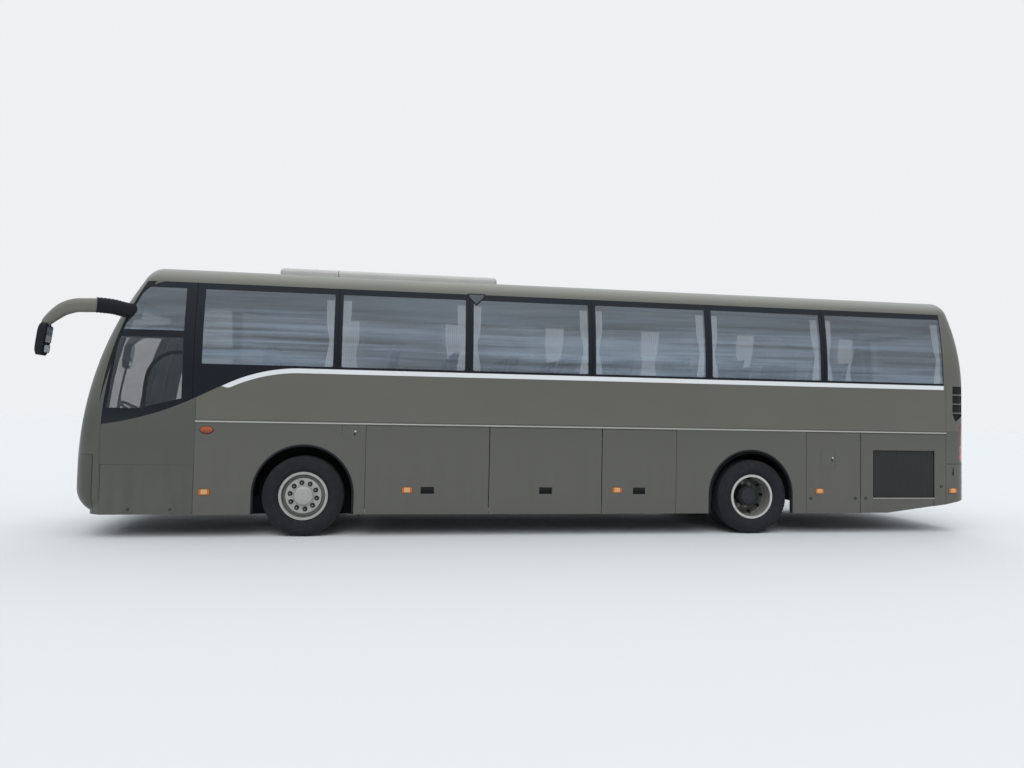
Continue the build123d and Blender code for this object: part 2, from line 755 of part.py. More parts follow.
def window_openings():
    """The clear panes in side view: the driver's two and those of the saloon."""
    openings = []
    edges = PILLARS + [WINDOW_REAR - PILLAR_WIDTH / 2]
    for front, rear in zip(edges, edges[1:]):
        with BuildSketch(Plane.XZ) as pane:
            add(box_outline(rear + PILLAR_WIDTH / 2, front - PILLAR_WIDTH / 2, WINDOW_BOTTOM_Z, WINDOW_TOP_Z))
            fillet(pane.vertices(), PANE_CORNER_R)
        openings.append(pane.sketch)
    with BuildSketch(Plane.XZ) as cab_pane:
        add(glazing_outline(CAB_PANE_FRAME))
        add(box_outline(PILLARS[0] + PILLAR_WIDTH / 2, NOSE, 0, CAB_DIVIDER_Z), mode=Mode.INTERSECT)
    openings.append(cab_pane.sketch)
    with BuildSketch(Plane.XZ) as quarter_pane:
        add(glazing_outline(CAB_PANE_FRAME))
        add(box_outline(PILLARS[0] + PILLAR_WIDTH / 2, NOSE, CAB_DIVIDER_Z + CAB_DIVIDER, ROOF_CLEAR),
            mode=Mode.INTERSECT)
    openings.append(quarter_pane.sketch)
    return openings


def inside_pillar(inset):
    """The side's outline drawn in by the width of the front pillar."""
    with BuildSketch(Plane.XZ) as outline:
        add(side_outline())
        offset(amount=-DOOR_PILLAR - inset, mode=Mode.REPLACE)
    return outline.sketch


def door_outline(front, rear, top, inset=0):
    """A passenger door in side view; the front door's leading edge leans with the pillar."""
    with BuildSketch(Plane.XZ) as outline:
        add(side_outline())
        add(box_outline(rear + inset, front - inset, DOOR_BOTTOM_Z + inset - 1, top - inset),
            mode=Mode.INTERSECT)
        if front > FRONT_AXLE:
            add(inside_pillar(inset), mode=Mode.INTERSECT)
    return outline.sketch


def vent_cell(index):
    """One cell of a rear corner's air outlet in side view; the last one ends in a slant."""
    top_z = VENT_TOP_Z - index * VENT_PITCH
    foot_z = top_z - VENT_HEIGHT
    tip_x = VENT_FRONT - (VENT_FRONT - VENT_REAR) / 5
    with BuildSketch(Plane.XZ) as outline:
        with BuildLine():
            if index < VENT_COUNT - 1:
                Polyline((VENT_FRONT, top_z), (VENT_REAR, top_z), (VENT_REAR, foot_z), (VENT_FRONT, foot_z),
                         close=True)
            else:
                Polyline((VENT_FRONT, top_z), (VENT_REAR, top_z), (tip_x, foot_z), close=True)
        make_face()
    return outline.sketch


for side, name in ((LEFT, "left_side"), (RIGHT, "right_side")):
    finish(side_wall(side), name)

# Roof, between the side windows' rails
with BuildPart() as roof:
    add(wall.part)
    across(box_outline(TAIL_SEAM, ROOF_FRONT, CANT_Z, ROOF_CLEAR))
    block(ROOF_HATCH_X, (-ROOF_HATCH_Y, ROOF_HATCH_Y), (CANT_Z, ROOF_CLEAR), mode=Mode.SUBTRACT)
finish(roof.part, "roof")

# Front end: pillars, the panel under the windscreen and the dome above it
with BuildPart() as front_end:
    add(wall.part)
    across(box_outline(ROOF_FRONT, NOSE + 50, 0, ROOF_CLEAR))
    across(side_outline(), 0, Mode.SUBTRACT)
    across(BELOW_SKIRT, 0, Mode.SUBTRACT)
    across(box_outline(BUMPER_SEAM, NOSE + 50, 0, BUMPER_TOP_Z), 0, Mode.SUBTRACT)
    cut_rebate(windscreen_outline(), 1)
    along(windscreen_outline(SCREEN_FRAME), 1, Mode.SUBTRACT)
finish(front_end.part, "front_end")

with BuildPart() as windscreen:
    add(glass_layer.part)
    along(windscreen_outline(PANE_GAP), 1)

with BuildPart() as front_bumper:
    add(wall.part)
    across(box_outline(BUMPER_SEAM, NOSE + 50, SKIRT_Z, BUMPER_TOP_Z))
    across(side_outline(), 0, Mode.SUBTRACT)
    for side in (LEFT, RIGHT):
        cut_rebate(headlamp_outline(side), 1)

# Rear end, with the openings of the window and the engine door
with BuildPart() as rear_end:
    add(wall.part)
    across(box_outline(TAIL - 50, TAIL_SEAM, REAR_BUMPER_TOP_Z, ROOF_CLEAR))
    cut_rebate(rear_window_outline(), -1)
    along(rear_window_outline(SCREEN_FRAME), -1, Mode.SUBTRACT)
    along(engine_door_outline(), -1, Mode.SUBTRACT)
    for side in (LEFT, RIGHT):
        cut_rebate(tail_lamp_outline(side), -1)
        for index in range(VENT_COUNT):
            add(side_piece(vent_layer, vent_cell(index), side), mode=Mode.SUBTRACT)
finish(rear_end.part, "rear_end")

with BuildPart() as rear_window:
    add(glass_layer.part)
    along(rear_window_outline(PANE_GAP), -1)

with BuildPart() as rear_bumper:
    add(wall.part)
    across(box_outline(TAIL - 50, TAIL_SEAM, 0, REAR_BUMPER_TOP_Z))
    across(tail_rise(), 0, Mode.SUBTRACT)
    along(engine_door_outline(), -1, Mode.SUBTRACT)
    add(front_bumper.part)
finish(rear_bumper.part, "bumpers")



def side_pane(front, rear, side):
    """A dark pane between two pillar centres, cut back from the passenger doors."""
    with BuildPart() as pane:
        add(glass_layer.part)
        across(glazing_outline(PANE_GAP), side)
        across(box_outline(rear + PANE_GAP, front - PANE_GAP, 0, ROOF_CLEAR), side)
        if side == RIGHT:
            for name, door_front, door_rear, top, swing in DOORS:
                across(door_outline(door_front, door_rear, top, -PANE_GAP), side, Mode.SUBTRACT)
    return pane.part


# Glass: the windscreen, the rear window and the panes of both sides
with BuildPart() as glazing:
    add(windscreen.part)
    add(rear_window.part)
    for side in (LEFT, RIGHT):
        edges = [NOSE] + PILLARS + [GLASS_REAR]
        for front, rear in zip(edges, edges[1:]):
            add(side_pane(front, rear, side))
finish(glazing.part, "glazing")

# Hinged flaps
for name, side, front, rear, bottom, top in FLAPS:
    axis_z = top - HINGE_DROP
    with BuildPart() as flap:
        block((rear + DOOR_GAP, front - DOOR_GAP), (side * (HALF - WALL), side * HALF),
              (bottom, axis_z + HINGE_R))
        if name == "engine_side_door_left":
            slatted_grille(side)
        if name == "locker_door_left":
            groove_loop(side, LOCKER_LID_X, LOCKER_LID_Z)
        for x in HANDLE_XS:
            if rear < x < front:
                finger_cup(side, x, HANDLE_Z)
        across(tail_rise(), 0, Mode.SUBTRACT)
        hinge_cut(side, side * HALF, axis_z, (rear, front))
    finish(flap.part, name)

HATCH_AXIS_X = ROOF_HATCH_X[1] - HINGE_DROP
HATCH_AXIS_Z = CROWN_Z - HINGE_INSET - 2
ENGINE_AXIS_X = TAIL + HINGE_INSET
ENGINE_AXIS_Z = ENGINE_DOOR_TOP_Z - HINGE_DROP

# Waist rails, with the hinge beads of the flaps below them
with BuildPart() as side_trim:
    for side in (LEFT, RIGHT):
        block((TAIL_SEAM, CAB_SEAM), (side * HALF, side * (HALF + RAIL_PROUD)),
              (MOULDING_Z - RAIL_LIP, MOULDING_Z + RAIL_HEIGHT))
    for name, side, front, rear, bottom, top in FLAPS:
        hinge_bead(side, side * HALF, top - HINGE_DROP, (rear + DOOR_GAP, front - DOOR_GAP),
                   top == MOULDING_Z)
    block((ENGINE_AXIS_X - HINGE_NECK / 2, ENGINE_AXIS_X + HINGE_NECK / 2),
          (-ENGINE_HINGE / 2, ENGINE_HINGE / 2), (ENGINE_AXIS_Z, ENGINE_DOOR_TOP_Z))
    cross_hinge(ENGINE_AXIS_X, ENGINE_AXIS_Z, ENGINE_HINGE, HINGE_R)
    block((HATCH_AXIS_X, ROOF_HATCH_X[1]), (-HATCH_HINGE / 2, HATCH_HINGE / 2),
          (HATCH_AXIS_Z - HINGE_NECK / 2, HATCH_AXIS_Z + HINGE_NECK / 2))
    cross_hinge(HATCH_AXIS_X, HATCH_AXIS_Z, HATCH_HINGE, HINGE_R)
finish(side_trim.part, "side_trim")

# Engine door at the rear, hung on one bead at the middle of its top edge
with BuildPart() as engine_door:
    add(wall.part)
    along(engine_door_outline(DOOR_GAP), -1)
    block((TAIL - 10, TAIL + 400), (-HALF, HALF), (ENGINE_AXIS_Z + HINGE_R, ENGINE_DOOR_TOP_Z + 10),
          mode=Mode.SUBTRACT)
    cross_hinge(ENGINE_AXIS_X, ENGINE_AXIS_Z, ENGINE_HINGE + 2 * DOOR_GAP, HINGE_R + HINGE_GAP, Mode.SUBTRACT)
    mouth = HINGE_NECK / 2 + 1
    block((TAIL - 10, ENGINE_AXIS_X + mouth), (-ENGINE_HINGE / 2 - 5, ENGINE_HINGE / 2 + 5),
          (ENGINE_AXIS_Z - mouth, ENGINE_DOOR_TOP_Z), mode=Mode.SUBTRACT)
finish(engine_door.part, "engine_door")

# Passenger doors: the panel with its window and the brackets of its two pins
for name, front, rear, top, swing in DOORS:
    post_x = post_place(front, rear, swing)
    pin_x = post_x - swing * ARM_LENGTH
    with BuildPart() as door:
        add(wall.part)
        across(door_outline(front, rear, top, DOOR_GAP), RIGHT)
        add(side_piece(rebate_layer, door_glass_outline(front, rear, top), RIGHT), mode=Mode.SUBTRACT)
        across(door_glass_outline(front, rear, top, DOOR_FRAME), RIGHT, Mode.SUBTRACT)
        for z in ARM_ZS:
            for end in (-1, 1):
                ear_z = z + end * (ARM_SIZE / 2 + EAR_GAP)
                block((pin_x - EYE_R, pin_x + EYE_R), (-(HALF - WALL), -POST_Y),
                      (ear_z, ear_z + end * DOOR_EAR))
                with Locations((pin_x, -POST_Y, ear_z + end * DOOR_EAR / 2)):
                    Cylinder(EYE_R, DOOR_EAR)
            with Locations((pin_x, -POST_Y, z)):
                Cylinder(DOOR_PIN_R, ARM_SIZE + 2 * EAR_GAP)
    finish(door.part, name)
    with BuildPart() as glass:
        add(glass_layer.part)
        across(door_glass_outline(front, rear, top, PANE_GAP), RIGHT)
    finish(glass.part, name + "_glass")
    with BuildPart() as arms:
        with Locations((post_x, -POST_Y, (POST_BOTTOM_Z + POST_TOP_Z) / 2)):
            Cylinder(POST_R, POST_TOP_Z - POST_BOTTOM_Z)
        for z in ARM_ZS:
            block((pin_x, post_x), (-POST_Y - ARM_SIZE / 2, -POST_Y + ARM_SIZE / 2),
                  (z - ARM_SIZE / 2, z + ARM_SIZE / 2))
            with Locations((pin_x, -POST_Y, z), (post_x, -POST_Y, z)):
                Cylinder(EYE_R, ARM_SIZE)
            with Locations((pin_x, -POST_Y, z)):
                Cylinder(DOOR_PIN_R + RUNNING_GAP, ARM_SIZE, mode=Mode.SUBTRACT)
    finish(arms.part, name + "_arms")

# Bearings of the turning posts, each on a foot beside the doorway
with BuildPart() as door_bearings:
    for name, front, rear, top, swing in DOORS:
        post_x = post_place(front, rear, swing)
        jamb = front if swing > 0 else rear
        foot = (jamb + swing * BEARING_FOOT[0], jamb + swing * BEARING_FOOT[1])
        for z in (POST_BOTTOM_Z + BEARING, POST_TOP_Z - BEARING):
            block((post_x - swing * EYE_R, foot[1]), (-POST_Y - EYE_R, -POST_Y + EYE_R),
                  (z - BEARING / 2, z + BEARING / 2))
            block(foot, (-(HALF - WALL) + SEAT_GAP, -POST_Y), (z - BEARING / 2, z + BEARING / 2))
            with Locations((post_x, -POST_Y, z)):
                Cylinder(POST_R + RUNNING_GAP, BEARING, mode=Mode.SUBTRACT)
finish(door_bearings.part, "door_bearings")

# Roof hatch: a lid on a hinge along its front edge
with BuildPart() as roof_hatch:
    add(wall.part)
    with Locations(((ROOF_HATCH_X[0] + ROOF_HATCH_X[1]) / 2, 0, ROOF_CLEAR)):
        Box(ROOF_HATCH_X[1] - ROOF_HATCH_X[0] - 2 * DOOR_GAP, 2 * (ROOF_HATCH_Y - DOOR_GAP), REACH,
            mode=Mode.INTERSECT)
    block((HATCH_AXIS_X + HINGE_R, ROOF_HATCH_X[1]), (-HALF, HALF), (CANT_Z, ROOF_CLEAR), mode=Mode.SUBTRACT)
    cross_hinge(HATCH_AXIS_X, HATCH_AXIS_Z, HATCH_HINGE + 2 * DOOR_GAP, HINGE_R + HINGE_GAP, Mode.SUBTRACT)
    mouth = HINGE_NECK / 2 + 1
    block((HATCH_AXIS_X - mouth, ROOF_HATCH_X[1]), (-HATCH_HINGE / 2 - DOOR_GAP, HATCH_HINGE / 2 + DOOR_GAP),
          (HATCH_AXIS_Z - mouth, ROOF_CLEAR), mode=Mode.SUBTRACT)
finish(roof_hatch.part, "roof_hatch")



def cowl(x0, x1, free_end):
    """One cowl of the roof cooler: crowned, with rounded edges along its top and at its free end."""
    with BuildPart() as shell:
        with BuildSketch(Plane.YZ.offset(x0)):
            with BuildLine():
                Polyline((-COOLER_Y, CANT_Z), (COOLER_Y, CANT_Z), (COOLER_Y, COOLER_EDGE_Z))
                ThreePointArc((COOLER_Y, COOLER_EDGE_Z), (0, COOLER_TOP_Z), (-COOLER_Y, COOLER_EDGE_Z))
                Line((-COOLER_Y, COOLER_EDGE_Z), (-COOLER_Y, CANT_Z))
            make_face()
        extrude(amount=x1 - x0)
        fillet(shell.edges().filter_by(Axis.X).group_by(Axis.Z)[-1], COOLER_EDGE_R)
        end = shell.faces().sort_by(Axis.X)[free_end]
        fillet(end.edges().filter_by(lambda e: e.center().Z > CANT_Z + 20), COOLER_EDGE_R - 5)
    return shell.part


# Roof cooler: a shallow cowl in front and a long one behind a joint
with BuildPart() as roof_cooler:
    add(cowl(COOLER_REAR, COOLER_JOINT - COOLER_GAP, 0))
    add(cowl(COOLER_JOINT + COOLER_GAP, COOLER_FRONT, -1))
    add(OUTER, mode=Mode.SUBTRACT)
finish(roof_cooler.part, "roof_cooler")

# Underframe: high rails over the axles, low rails under the luggage deck, and cross members
with BuildPart() as frame:
    high = ((ARCH_SEAM - 40, NOSE - 420), (TAIL + 350, BAY_3_SEAM + 40))
    for side in (LEFT, RIGHT):
        y = (side * (RAIL_Y - RAIL_WIDTH / 2), side * (RAIL_Y + RAIL_WIDTH / 2))
        for x in high:
            block(x, y, (RAIL_BOTTOM_Z, RAIL_TOP_Z))
        block((BAY_3_SEAM, ARCH_SEAM), y, (LOW_RAIL_BOTTOM_Z, LOW_RAIL_TOP_Z))
        for x in (ARCH_SEAM, BAY_3_SEAM):
            block((x - CROSS_MEMBER / 2, x + CROSS_MEMBER / 2), y, (LOW_RAIL_BOTTOM_Z, RAIL_TOP_Z))
    for x in (NOSE - 460, FRONT_AXLE + 760, FRONT_AXLE - 700, REAR_AXLE + 820, REAR_AXLE - 760, TAIL + 400,
              ENGINE_REAR + 200, ENGINE_REAR + ENGINE_LENGTH - 200):
        block((x - CROSS_MEMBER / 2, x + CROSS_MEMBER / 2), (-RAIL_Y, RAIL_Y),
              (RAIL_BOTTOM_Z, RAIL_BOTTOM_Z + CROSS_MEMBER))
    for x in (BAY_1_SEAM, BAY_2_SEAM):
        block((x - CROSS_MEMBER / 2, x + CROSS_MEMBER / 2), (-HALF + 200, HALF - 200),
              (LOW_RAIL_BOTTOM_Z, LOW_RAIL_TOP_Z))
    for x in (ARCH_SEAM, BAY_3_SEAM):
        block((x - CROSS_MEMBER / 2, x + CROSS_MEMBER / 2), (-HALF + 60, HALF - 60),
              (LOW_RAIL_BOTTOM_Z, LOW_RAIL_TOP_Z))
    for beam_x, direction in ((NOSE - 460, 1), (TAIL + 400, -1)):
        eye_x = beam_x + direction * (CROSS_MEMBER / 2 + TOW_ARM)
        z = (RAIL_BOTTOM_Z, RAIL_BOTTOM_Z + TOW_EYE_THICKNESS)
        block((beam_x, eye_x), (-TOW_EYE / 2, TOW_EYE / 2), z)
        with Locations((eye_x, 0, RAIL_BOTTOM_Z + TOW_EYE_THICKNESS / 2)):
            Cylinder(TOW_EYE / 2, TOW_EYE_THICKNESS)
            Cylinder(TOW_EYE_R, TOW_EYE_THICKNESS, mode=Mode.SUBTRACT)
finish(frame.part, "frame")

# Saloon floor, cab platform and steps
INNER_Y = HALF - WALL - SEAT_GAP
STEERING_PLANE = Plane((NOSE - 640, 660, CAB_FLOOR_Z + 560), x_dir=(0, 1, 0), z_dir=(-0.5, 0, 0.87))
with BuildPart() as floor:
    block((TAIL, CAB_SEAM), (-HALF, HALF), (FLOOR_Z - FLOOR_THICKNESS, FLOOR_Z))
    block((CAB_SEAM, NOSE), (-250, HALF), (CAB_FLOOR_Z - FLOOR_THICKNESS, CAB_FLOOR_Z))
    block((CAB_SEAM, CAB_SEAM + 30), (-250, HALF), (CAB_FLOOR_Z, FLOOR_Z))
    for name, front, rear, top, swing in DOORS:
        block((rear - JAMB_SPACE, front + JAMB_SPACE), (-INNER_Y, -STAIR_Y),
              (FLOOR_Z - FLOOR_THICKNESS, FLOOR_Z), mode=Mode.SUBTRACT)
    add(INNER, mode=Mode.INTERSECT)
finish(floor.part, "floor")

# Walls and pans of the lower deck: bulkheads, luggage floor and wheel housings
with BuildPart() as lower_deck:
    block((BAY_3_SEAM + 60, ARCH_SEAM - 60), (-RAIL_DECK_Y, RAIL_DECK_Y), (LOW_RAIL_TOP_Z, BAY_FLOOR_TOP_Z))
    for x in (ARCH_SEAM - 60, BAY_3_SEAM + 60):
        block((x - BULKHEAD / 2, x + BULKHEAD / 2), (-RAIL_DECK_Y, RAIL_DECK_Y),
              (LOW_RAIL_TOP_Z, FLOOR_Z - FLOOR_THICKNESS))
    for name, front, rear, top, swing in DOORS[1:]:
        for x in (front + JAMB_SPACE, rear - JAMB_SPACE - BULKHEAD):
            block((x, x + BULKHEAD), (-RAIL_DECK_Y, -STAIR_Y), (BAY_FLOOR_TOP_Z, FLOOR_Z - FLOOR_THICKNESS))
        block((rear - JAMB_SPACE - BULKHEAD, front + JAMB_SPACE + BULKHEAD), (-STAIR_Y, -STAIR_Y + BULKHEAD),
              (BAY_FLOOR_TOP_Z, FLOOR_Z - FLOOR_THICKNESS))
finish(lower_deck.part, "lower_deck")



def liner(axle, radius, inner_y, side):
    """A wheel housing: an arched shell, closed towards the middle by a wall above the axle."""
    with BuildPart() as shell:
        extrude(arch_outline(axle, radius + LINER_THICKNESS, AXLE_Z + radius + LINER_THICKNESS),
                amount=INNER_Y, dir=(0, side, 0))
        extrude(arch_outline(axle, radius, AXLE_Z + radius), amount=INNER_Y, dir=(0, side, 0),
                mode=Mode.SUBTRACT)
        extrude(arch_outline(axle, radius + 1, AXLE_Z + radius + 1), amount=inner_y + LINER_THICKNESS,
                dir=(0, side, 0))
        block((axle - REACH, axle + REACH), (-side, side * inner_y), (0, REACH), mode=Mode.SUBTRACT)
        block((axle - radius, axle + radius), (-side, side * (inner_y + LINER_THICKNESS + 1)),
              (0, LINER_WALL_Z), mode=Mode.SUBTRACT)
        across(box_outline(axle - REACH, axle + REACH, -REACH, AXLE_Z - 60), 0, Mode.SUBTRACT)
    return shell.part


with BuildPart() as wheel_housings:
    for side in (LEFT, RIGHT):
        add(liner(FRONT_AXLE, FRONT_LINER_R, FRONT_LINER_Y, side))
        add(liner(REAR_AXLE, REAR_LINER_R, REAR_LINER_Y, side))
finish(wheel_housings.part, "wheel_housings")

# Engine
with BuildPart() as engine:
    block((ENGINE_REAR, ENGINE_REAR + ENGINE_LENGTH), (-350, 350),
          (RAIL_BOTTOM_Z + CROSS_MEMBER, ENGINE_TOP_Z))
finish(engine.part, "engine")

# Front axle: a dropped beam with an eye for each kingpin, and the bellows on it
with BuildPart() as front_axle:
    block((FRONT_AXLE - 40, FRONT_AXLE + 40), (-KINGPIN_Y + 20, KINGPIN_Y - 20), (AXLE_Z - 50, AXLE_Z + 40))
    for side in (LEFT, RIGHT):
        with Locations((FRONT_AXLE, side * KINGPIN_Y, AXLE_Z)):
            Cylinder(KINGPIN_R + 20, EYE_HEIGHT)
            Cylinder(KINGPIN_R + RUNNING_GAP, EYE_HEIGHT, mode=Mode.SUBTRACT)
        block((FRONT_AXLE - 60, FRONT_AXLE + 60), (side * 340, side * 460), (AXLE_Z + 40, AXLE_Z + 60))
        with Locations((FRONT_AXLE, side * RAIL_Y, (AXLE_Z + 60 + RAIL_BOTTOM_Z) / 2)):
            Cylinder(BELLOWS_R / 2, RAIL_BOTTOM_Z - AXLE_Z - 60)
finish(front_axle.part, "front_axle")

# Rear axle: tubes, the final drive and the bellows
with BuildPart() as rear_axle:
    with Locations(Plane((REAR_AXLE, 0, AXLE_Z), x_dir=(1, 0, 0), z_dir=(0, 1, 0))):
        Cylinder(AXLE_TUBE_R, 2 * 560)
        Cylinder(STUB_R, 2 * REAR_STUB_Y)
        Cylinder(DIFF_R, 260)
    for side in (LEFT, RIGHT):
        for end in (-1, 1):
            x = REAR_AXLE + end * 480
            block((REAR_AXLE, x + end * 60), (side * 360, side * 440), (AXLE_Z - 60, AXLE_Z + 20))
            with Locations((x, side * RAIL_Y, (AXLE_Z + 20 + RAIL_BOTTOM_Z) / 2)):
                Cylinder(BELLOWS_R, RAIL_BOTTOM_Z - AXLE_Z - 20)
finish(rear_axle.part, "rear_axle")

# Steering knuckles: two ears on the kingpin, a plate and the stub axle
for side, word in ((LEFT, "left"), (RIGHT, "right")):
    with BuildPart() as knuckle:
        ear_z = EYE_HEIGHT / 2 + EAR_GAP + EAR_HEIGHT / 2
        with Locations((FRONT_AXLE, side * KINGPIN_Y, AXLE_Z)):
            Cylinder(KINGPIN_R, 2 * ear_z + EAR_HEIGHT)
        for end in (-1, 1):
            with Locations((FRONT_AXLE, side * KINGPIN_Y, AXLE_Z + end * ear_z)):
                Cylinder(KINGPIN_R + 20, EAR_HEIGHT)
            block((FRONT_AXLE - KINGPIN_R - 20, FRONT_AXLE + KINGPIN_R + 20),
                  (side * KINGPIN_Y, side * (KINGPIN_Y + 65)),
                  (AXLE_Z + end * ear_z - EAR_HEIGHT / 2, AXLE_Z + end * ear_z + EAR_HEIGHT / 2))
        block((FRONT_AXLE - 60, FRONT_AXLE + 60), (side * (KINGPIN_Y + 50), side * (KINGPIN_Y + 80)),
              (AXLE_Z - ear_z - EAR_HEIGHT / 2, AXLE_Z + ear_z + EAR_HEIGHT / 2))
        stub_root = (FRONT_AXLE, side * (KINGPIN_Y + 80), AXLE_Z)
        with Locations(Plane(stub_root, x_dir=(1, 0, 0), z_dir=(0, side, 0))):
            Cylinder(STUB_R, FRONT_STUB_Y - KINGPIN_Y - 80, align=(Align.CENTER, Align.CENTER, Align.MIN))
    finish(knuckle.part, "knuckle_" + word)

TYRE_Y = HALF - TYRE_INSET - TYRE_WIDTH / 2


def tyre_profile(centre_y):
    """A tyre's cross section, turned about the axle: a flat tread, chamfered shoulders and bulged sides."""
    half = TYRE_WIDTH / 2
    # Distance from the tyre's middle plane, and radius
    flank = [
        (BEAD_Y, RIM_R + SEAT_GAP),
        (BEAD_Y, BEAD_TOP_R),
        (half - BULGE_DROP, BULGE_R - BULGE_STEP),
        (half, BULGE_R),
        (half - BULGE_DROP, BULGE_R + BULGE_STEP),
        (TREAD_Y, TYRE_R - SHOULDER),
        (TREAD_Y - SHOULDER, TYRE_R),
    ]
    with BuildSketch(Plane.YZ) as profile:
        with BuildLine():
            left = [(centre_y - y, r) for y, r in reversed(flank)]
            right = [(centre_y + y, r) for y, r in flank]
            Polyline(*left, *right, close=True)
        make_face()
    return profile.sketch


def rim_profile(centre_y, dish):
    """A steel rim in section: a barrel between two flanges, and a disc that slopes out to its bolt face."""
    outward = 1 if dish > 0 else -1
    inner_r = RIM_R - RIM_WALL
    foot_y = centre_y + dish - outward * DISH_FOOT
    centre_r = HUB_R - 10
    with BuildSketch(Plane.YZ) as profile:
        with Locations((centre_y, RIM_R - RIM_WALL / 2)):
            Rectangle(2 * FLANGE_Y, RIM_WALL)
        with Locations((centre_y - FLANGE_Y + FLANGE / 2, (inner_r + FLANGE_R) / 2),
                       (centre_y + FLANGE_Y - FLANGE / 2, (inner_r + FLANGE_R) / 2)):
            Rectangle(FLANGE, FLANGE_R - inner_r)
        with BuildLine():
            Polyline(
                (centre_y + dish, centre_r),
                (centre_y + dish, BOLT_FACE_R),
                (foot_y + outward * DISC, inner_r + 1),
                (foot_y - outward * DISC, inner_r + 1),
                (centre_y + dish - outward * DISC, BOLT_FACE_R),
                (centre_y + dish - outward * DISC, centre_r),
                close=True,
            )
        make_face()
    return profile.sketch


def hub_profile(inner_y, outer_y, bore_end, cap_y):
    """A hub in section, with a cap that is chamfered to a flat end, and a blind bore for the stub axle."""
    with BuildSketch(Plane.YZ) as profile:
        with BuildLine():
            Polyline((inner_y, 0), (inner_y, HUB_R), (outer_y, HUB_R), (outer_y, CAP_R),
                     (outer_y + cap_y / 2, CAP_R), (outer_y + cap_y, CAP_TOP_R), (outer_y + cap_y, 0),
                     close=True)
        make_face()
        with Locations(((inner_y + bore_end) / 2, (STUB_R + RUNNING_GAP) / 2)):
            Rectangle(bore_end - inner_y, STUB_R + RUNNING_GAP, mode=Mode.SUBTRACT)
    return profile.sketch


def hand_holes(inner_y, outer_y):
    """A ring of holes through the sloping part of a disc."""
    with Locations(Plane((0, inner_y, 0), x_dir=(1, 0, 0), z_dir=(0, 1, 0))):
        with PolarLocations(HAND_HOLE_PLACE, HAND_HOLES):
            Cylinder(HAND_HOLE_R, outer_y - inner_y, align=(Align.CENTER, Align.CENTER, Align.MIN),
                     mode=Mode.SUBTRACT)


WHEEL_AXIS = Axis((0, 0, 0), (0, 1, 0))
TWIN_Y = TYRE_Y - TWIN_PITCH
with BuildPart() as front_rim:
    revolve(rim_profile(TYRE_Y, FRONT_DISH), axis=WHEEL_AXIS)
    revolve(hub_profile(KINGPIN_Y + 90, TYRE_Y + FRONT_DISH, FRONT_STUB_Y + 5, CAP_REACH), axis=WHEEL_AXIS)
with BuildPart() as front_tyre:
    revolve(tyre_profile(TYRE_Y), axis=WHEEL_AXIS)
with BuildPart() as rear_rim:
    revolve(rim_profile(TYRE_Y, -REAR_DISH), axis=WHEEL_AXIS)
    revolve(rim_profile(TWIN_Y, REAR_DISH), axis=WHEEL_AXIS)
    hand_holes(TWIN_Y, TYRE_Y)
    revolve(hub_profile(TWIN_Y - 190, REAR_STUB_Y + 20, REAR_STUB_Y + 5, CAP_REACH), axis=WHEEL_AXIS)
with BuildPart() as rear_tyre:
    revolve(tyre_profile(TYRE_Y), axis=WHEEL_AXIS)
    revolve(tyre_profile(TWIN_Y), axis=WHEEL_AXIS)

for name, part, axle_x in (
    ("front_rim", front_rim.part, FRONT_AXLE),
    ("front_tyre", front_tyre.part, FRONT_AXLE),
    ("rear_rim", rear_rim.part, REAR_AXLE),
    ("rear_tyre", rear_tyre.part, REAR_AXLE),
):
    finish(Pos(axle_x, 0, AXLE_Z) * part, name + "_left")
    finish(Pos(axle_x, 0, AXLE_Z) * mirror(part, about=Plane.XZ), name + "_right")

# Lamps
with BuildPart() as side_lamps:
    for side in (LEFT, RIGHT):
        for offset_x, z, length, height in LAMPS:
            x = FRONT_AXLE + offset_x
            if side == RIGHT and DOORS[1][2] < x < DOORS[1][1]:
                continue
            block((x - length / 2, x + length / 2), (side * (HALF - WALL), side * (HALF + LAMP_PROUD)),
                  (z - height / 2, z + height / 2))
    add(envelope(-LAMP_PROUD), mode=Mode.INTERSECT)
    add(OUTER, mode=Mode.SUBTRACT)
finish(side_lamps.part, "side_lamps")

with BuildPart() as headlamps:
    for side in (LEFT, RIGHT):
        add(end_piece(glass_layer, headlamp_outline(side, PANE_GAP), 1))
finish(headlamps.part, "headlamps")

with BuildPart() as tail_lamps:
    for side in (LEFT, RIGHT):
        add(end_piece(glass_layer, tail_lamp_outline(side, PANE_GAP), -1))
finish(tail_lamps.part, "tail_lamps")



def mirror_path(side):
    """The middle line of a mirror's arm: out of the roof pillar, forward and down to the head."""
    with BuildLine() as path:
        FilletPolyline(
            (FRONT_AXLE + 2050, side * 1130, 2790),
            (FRONT_AXLE + 2320, side * 1350, 2805),
            (FRONT_AXLE + 2660, side * MIRROR_Y, 2790),
            (FRONT_AXLE + 2900, side * MIRROR_Y, 2660),
            (FRONT_AXLE + 2985, side * MIRROR_Y, 2540),
            radius=140,
        )
    return path.line


def mirror_tube(side, size):
    """An oval tube along the arm."""
    path = mirror_path(side)
    with BuildPart() as tube:
        with BuildSketch(Plane(origin=path @ 0, x_dir=(0, 0, 1), z_dir=path % 0)):
            Ellipse(size[1] / 2, size[0] / 2)
        sweep(path=path)
    return tube.part


def mirror_bellows(side):
    """The wider sleeve round the arm's root."""
    with BuildPart() as sleeve:
        add(mirror_tube(side, MIRROR_BELLOWS))
        block((FRONT_AXLE, MIRROR_BELLOWS_END), (0, side * REACH), (0, ROOF_CLEAR), mode=Mode.INTERSECT)
    return sleeve.part


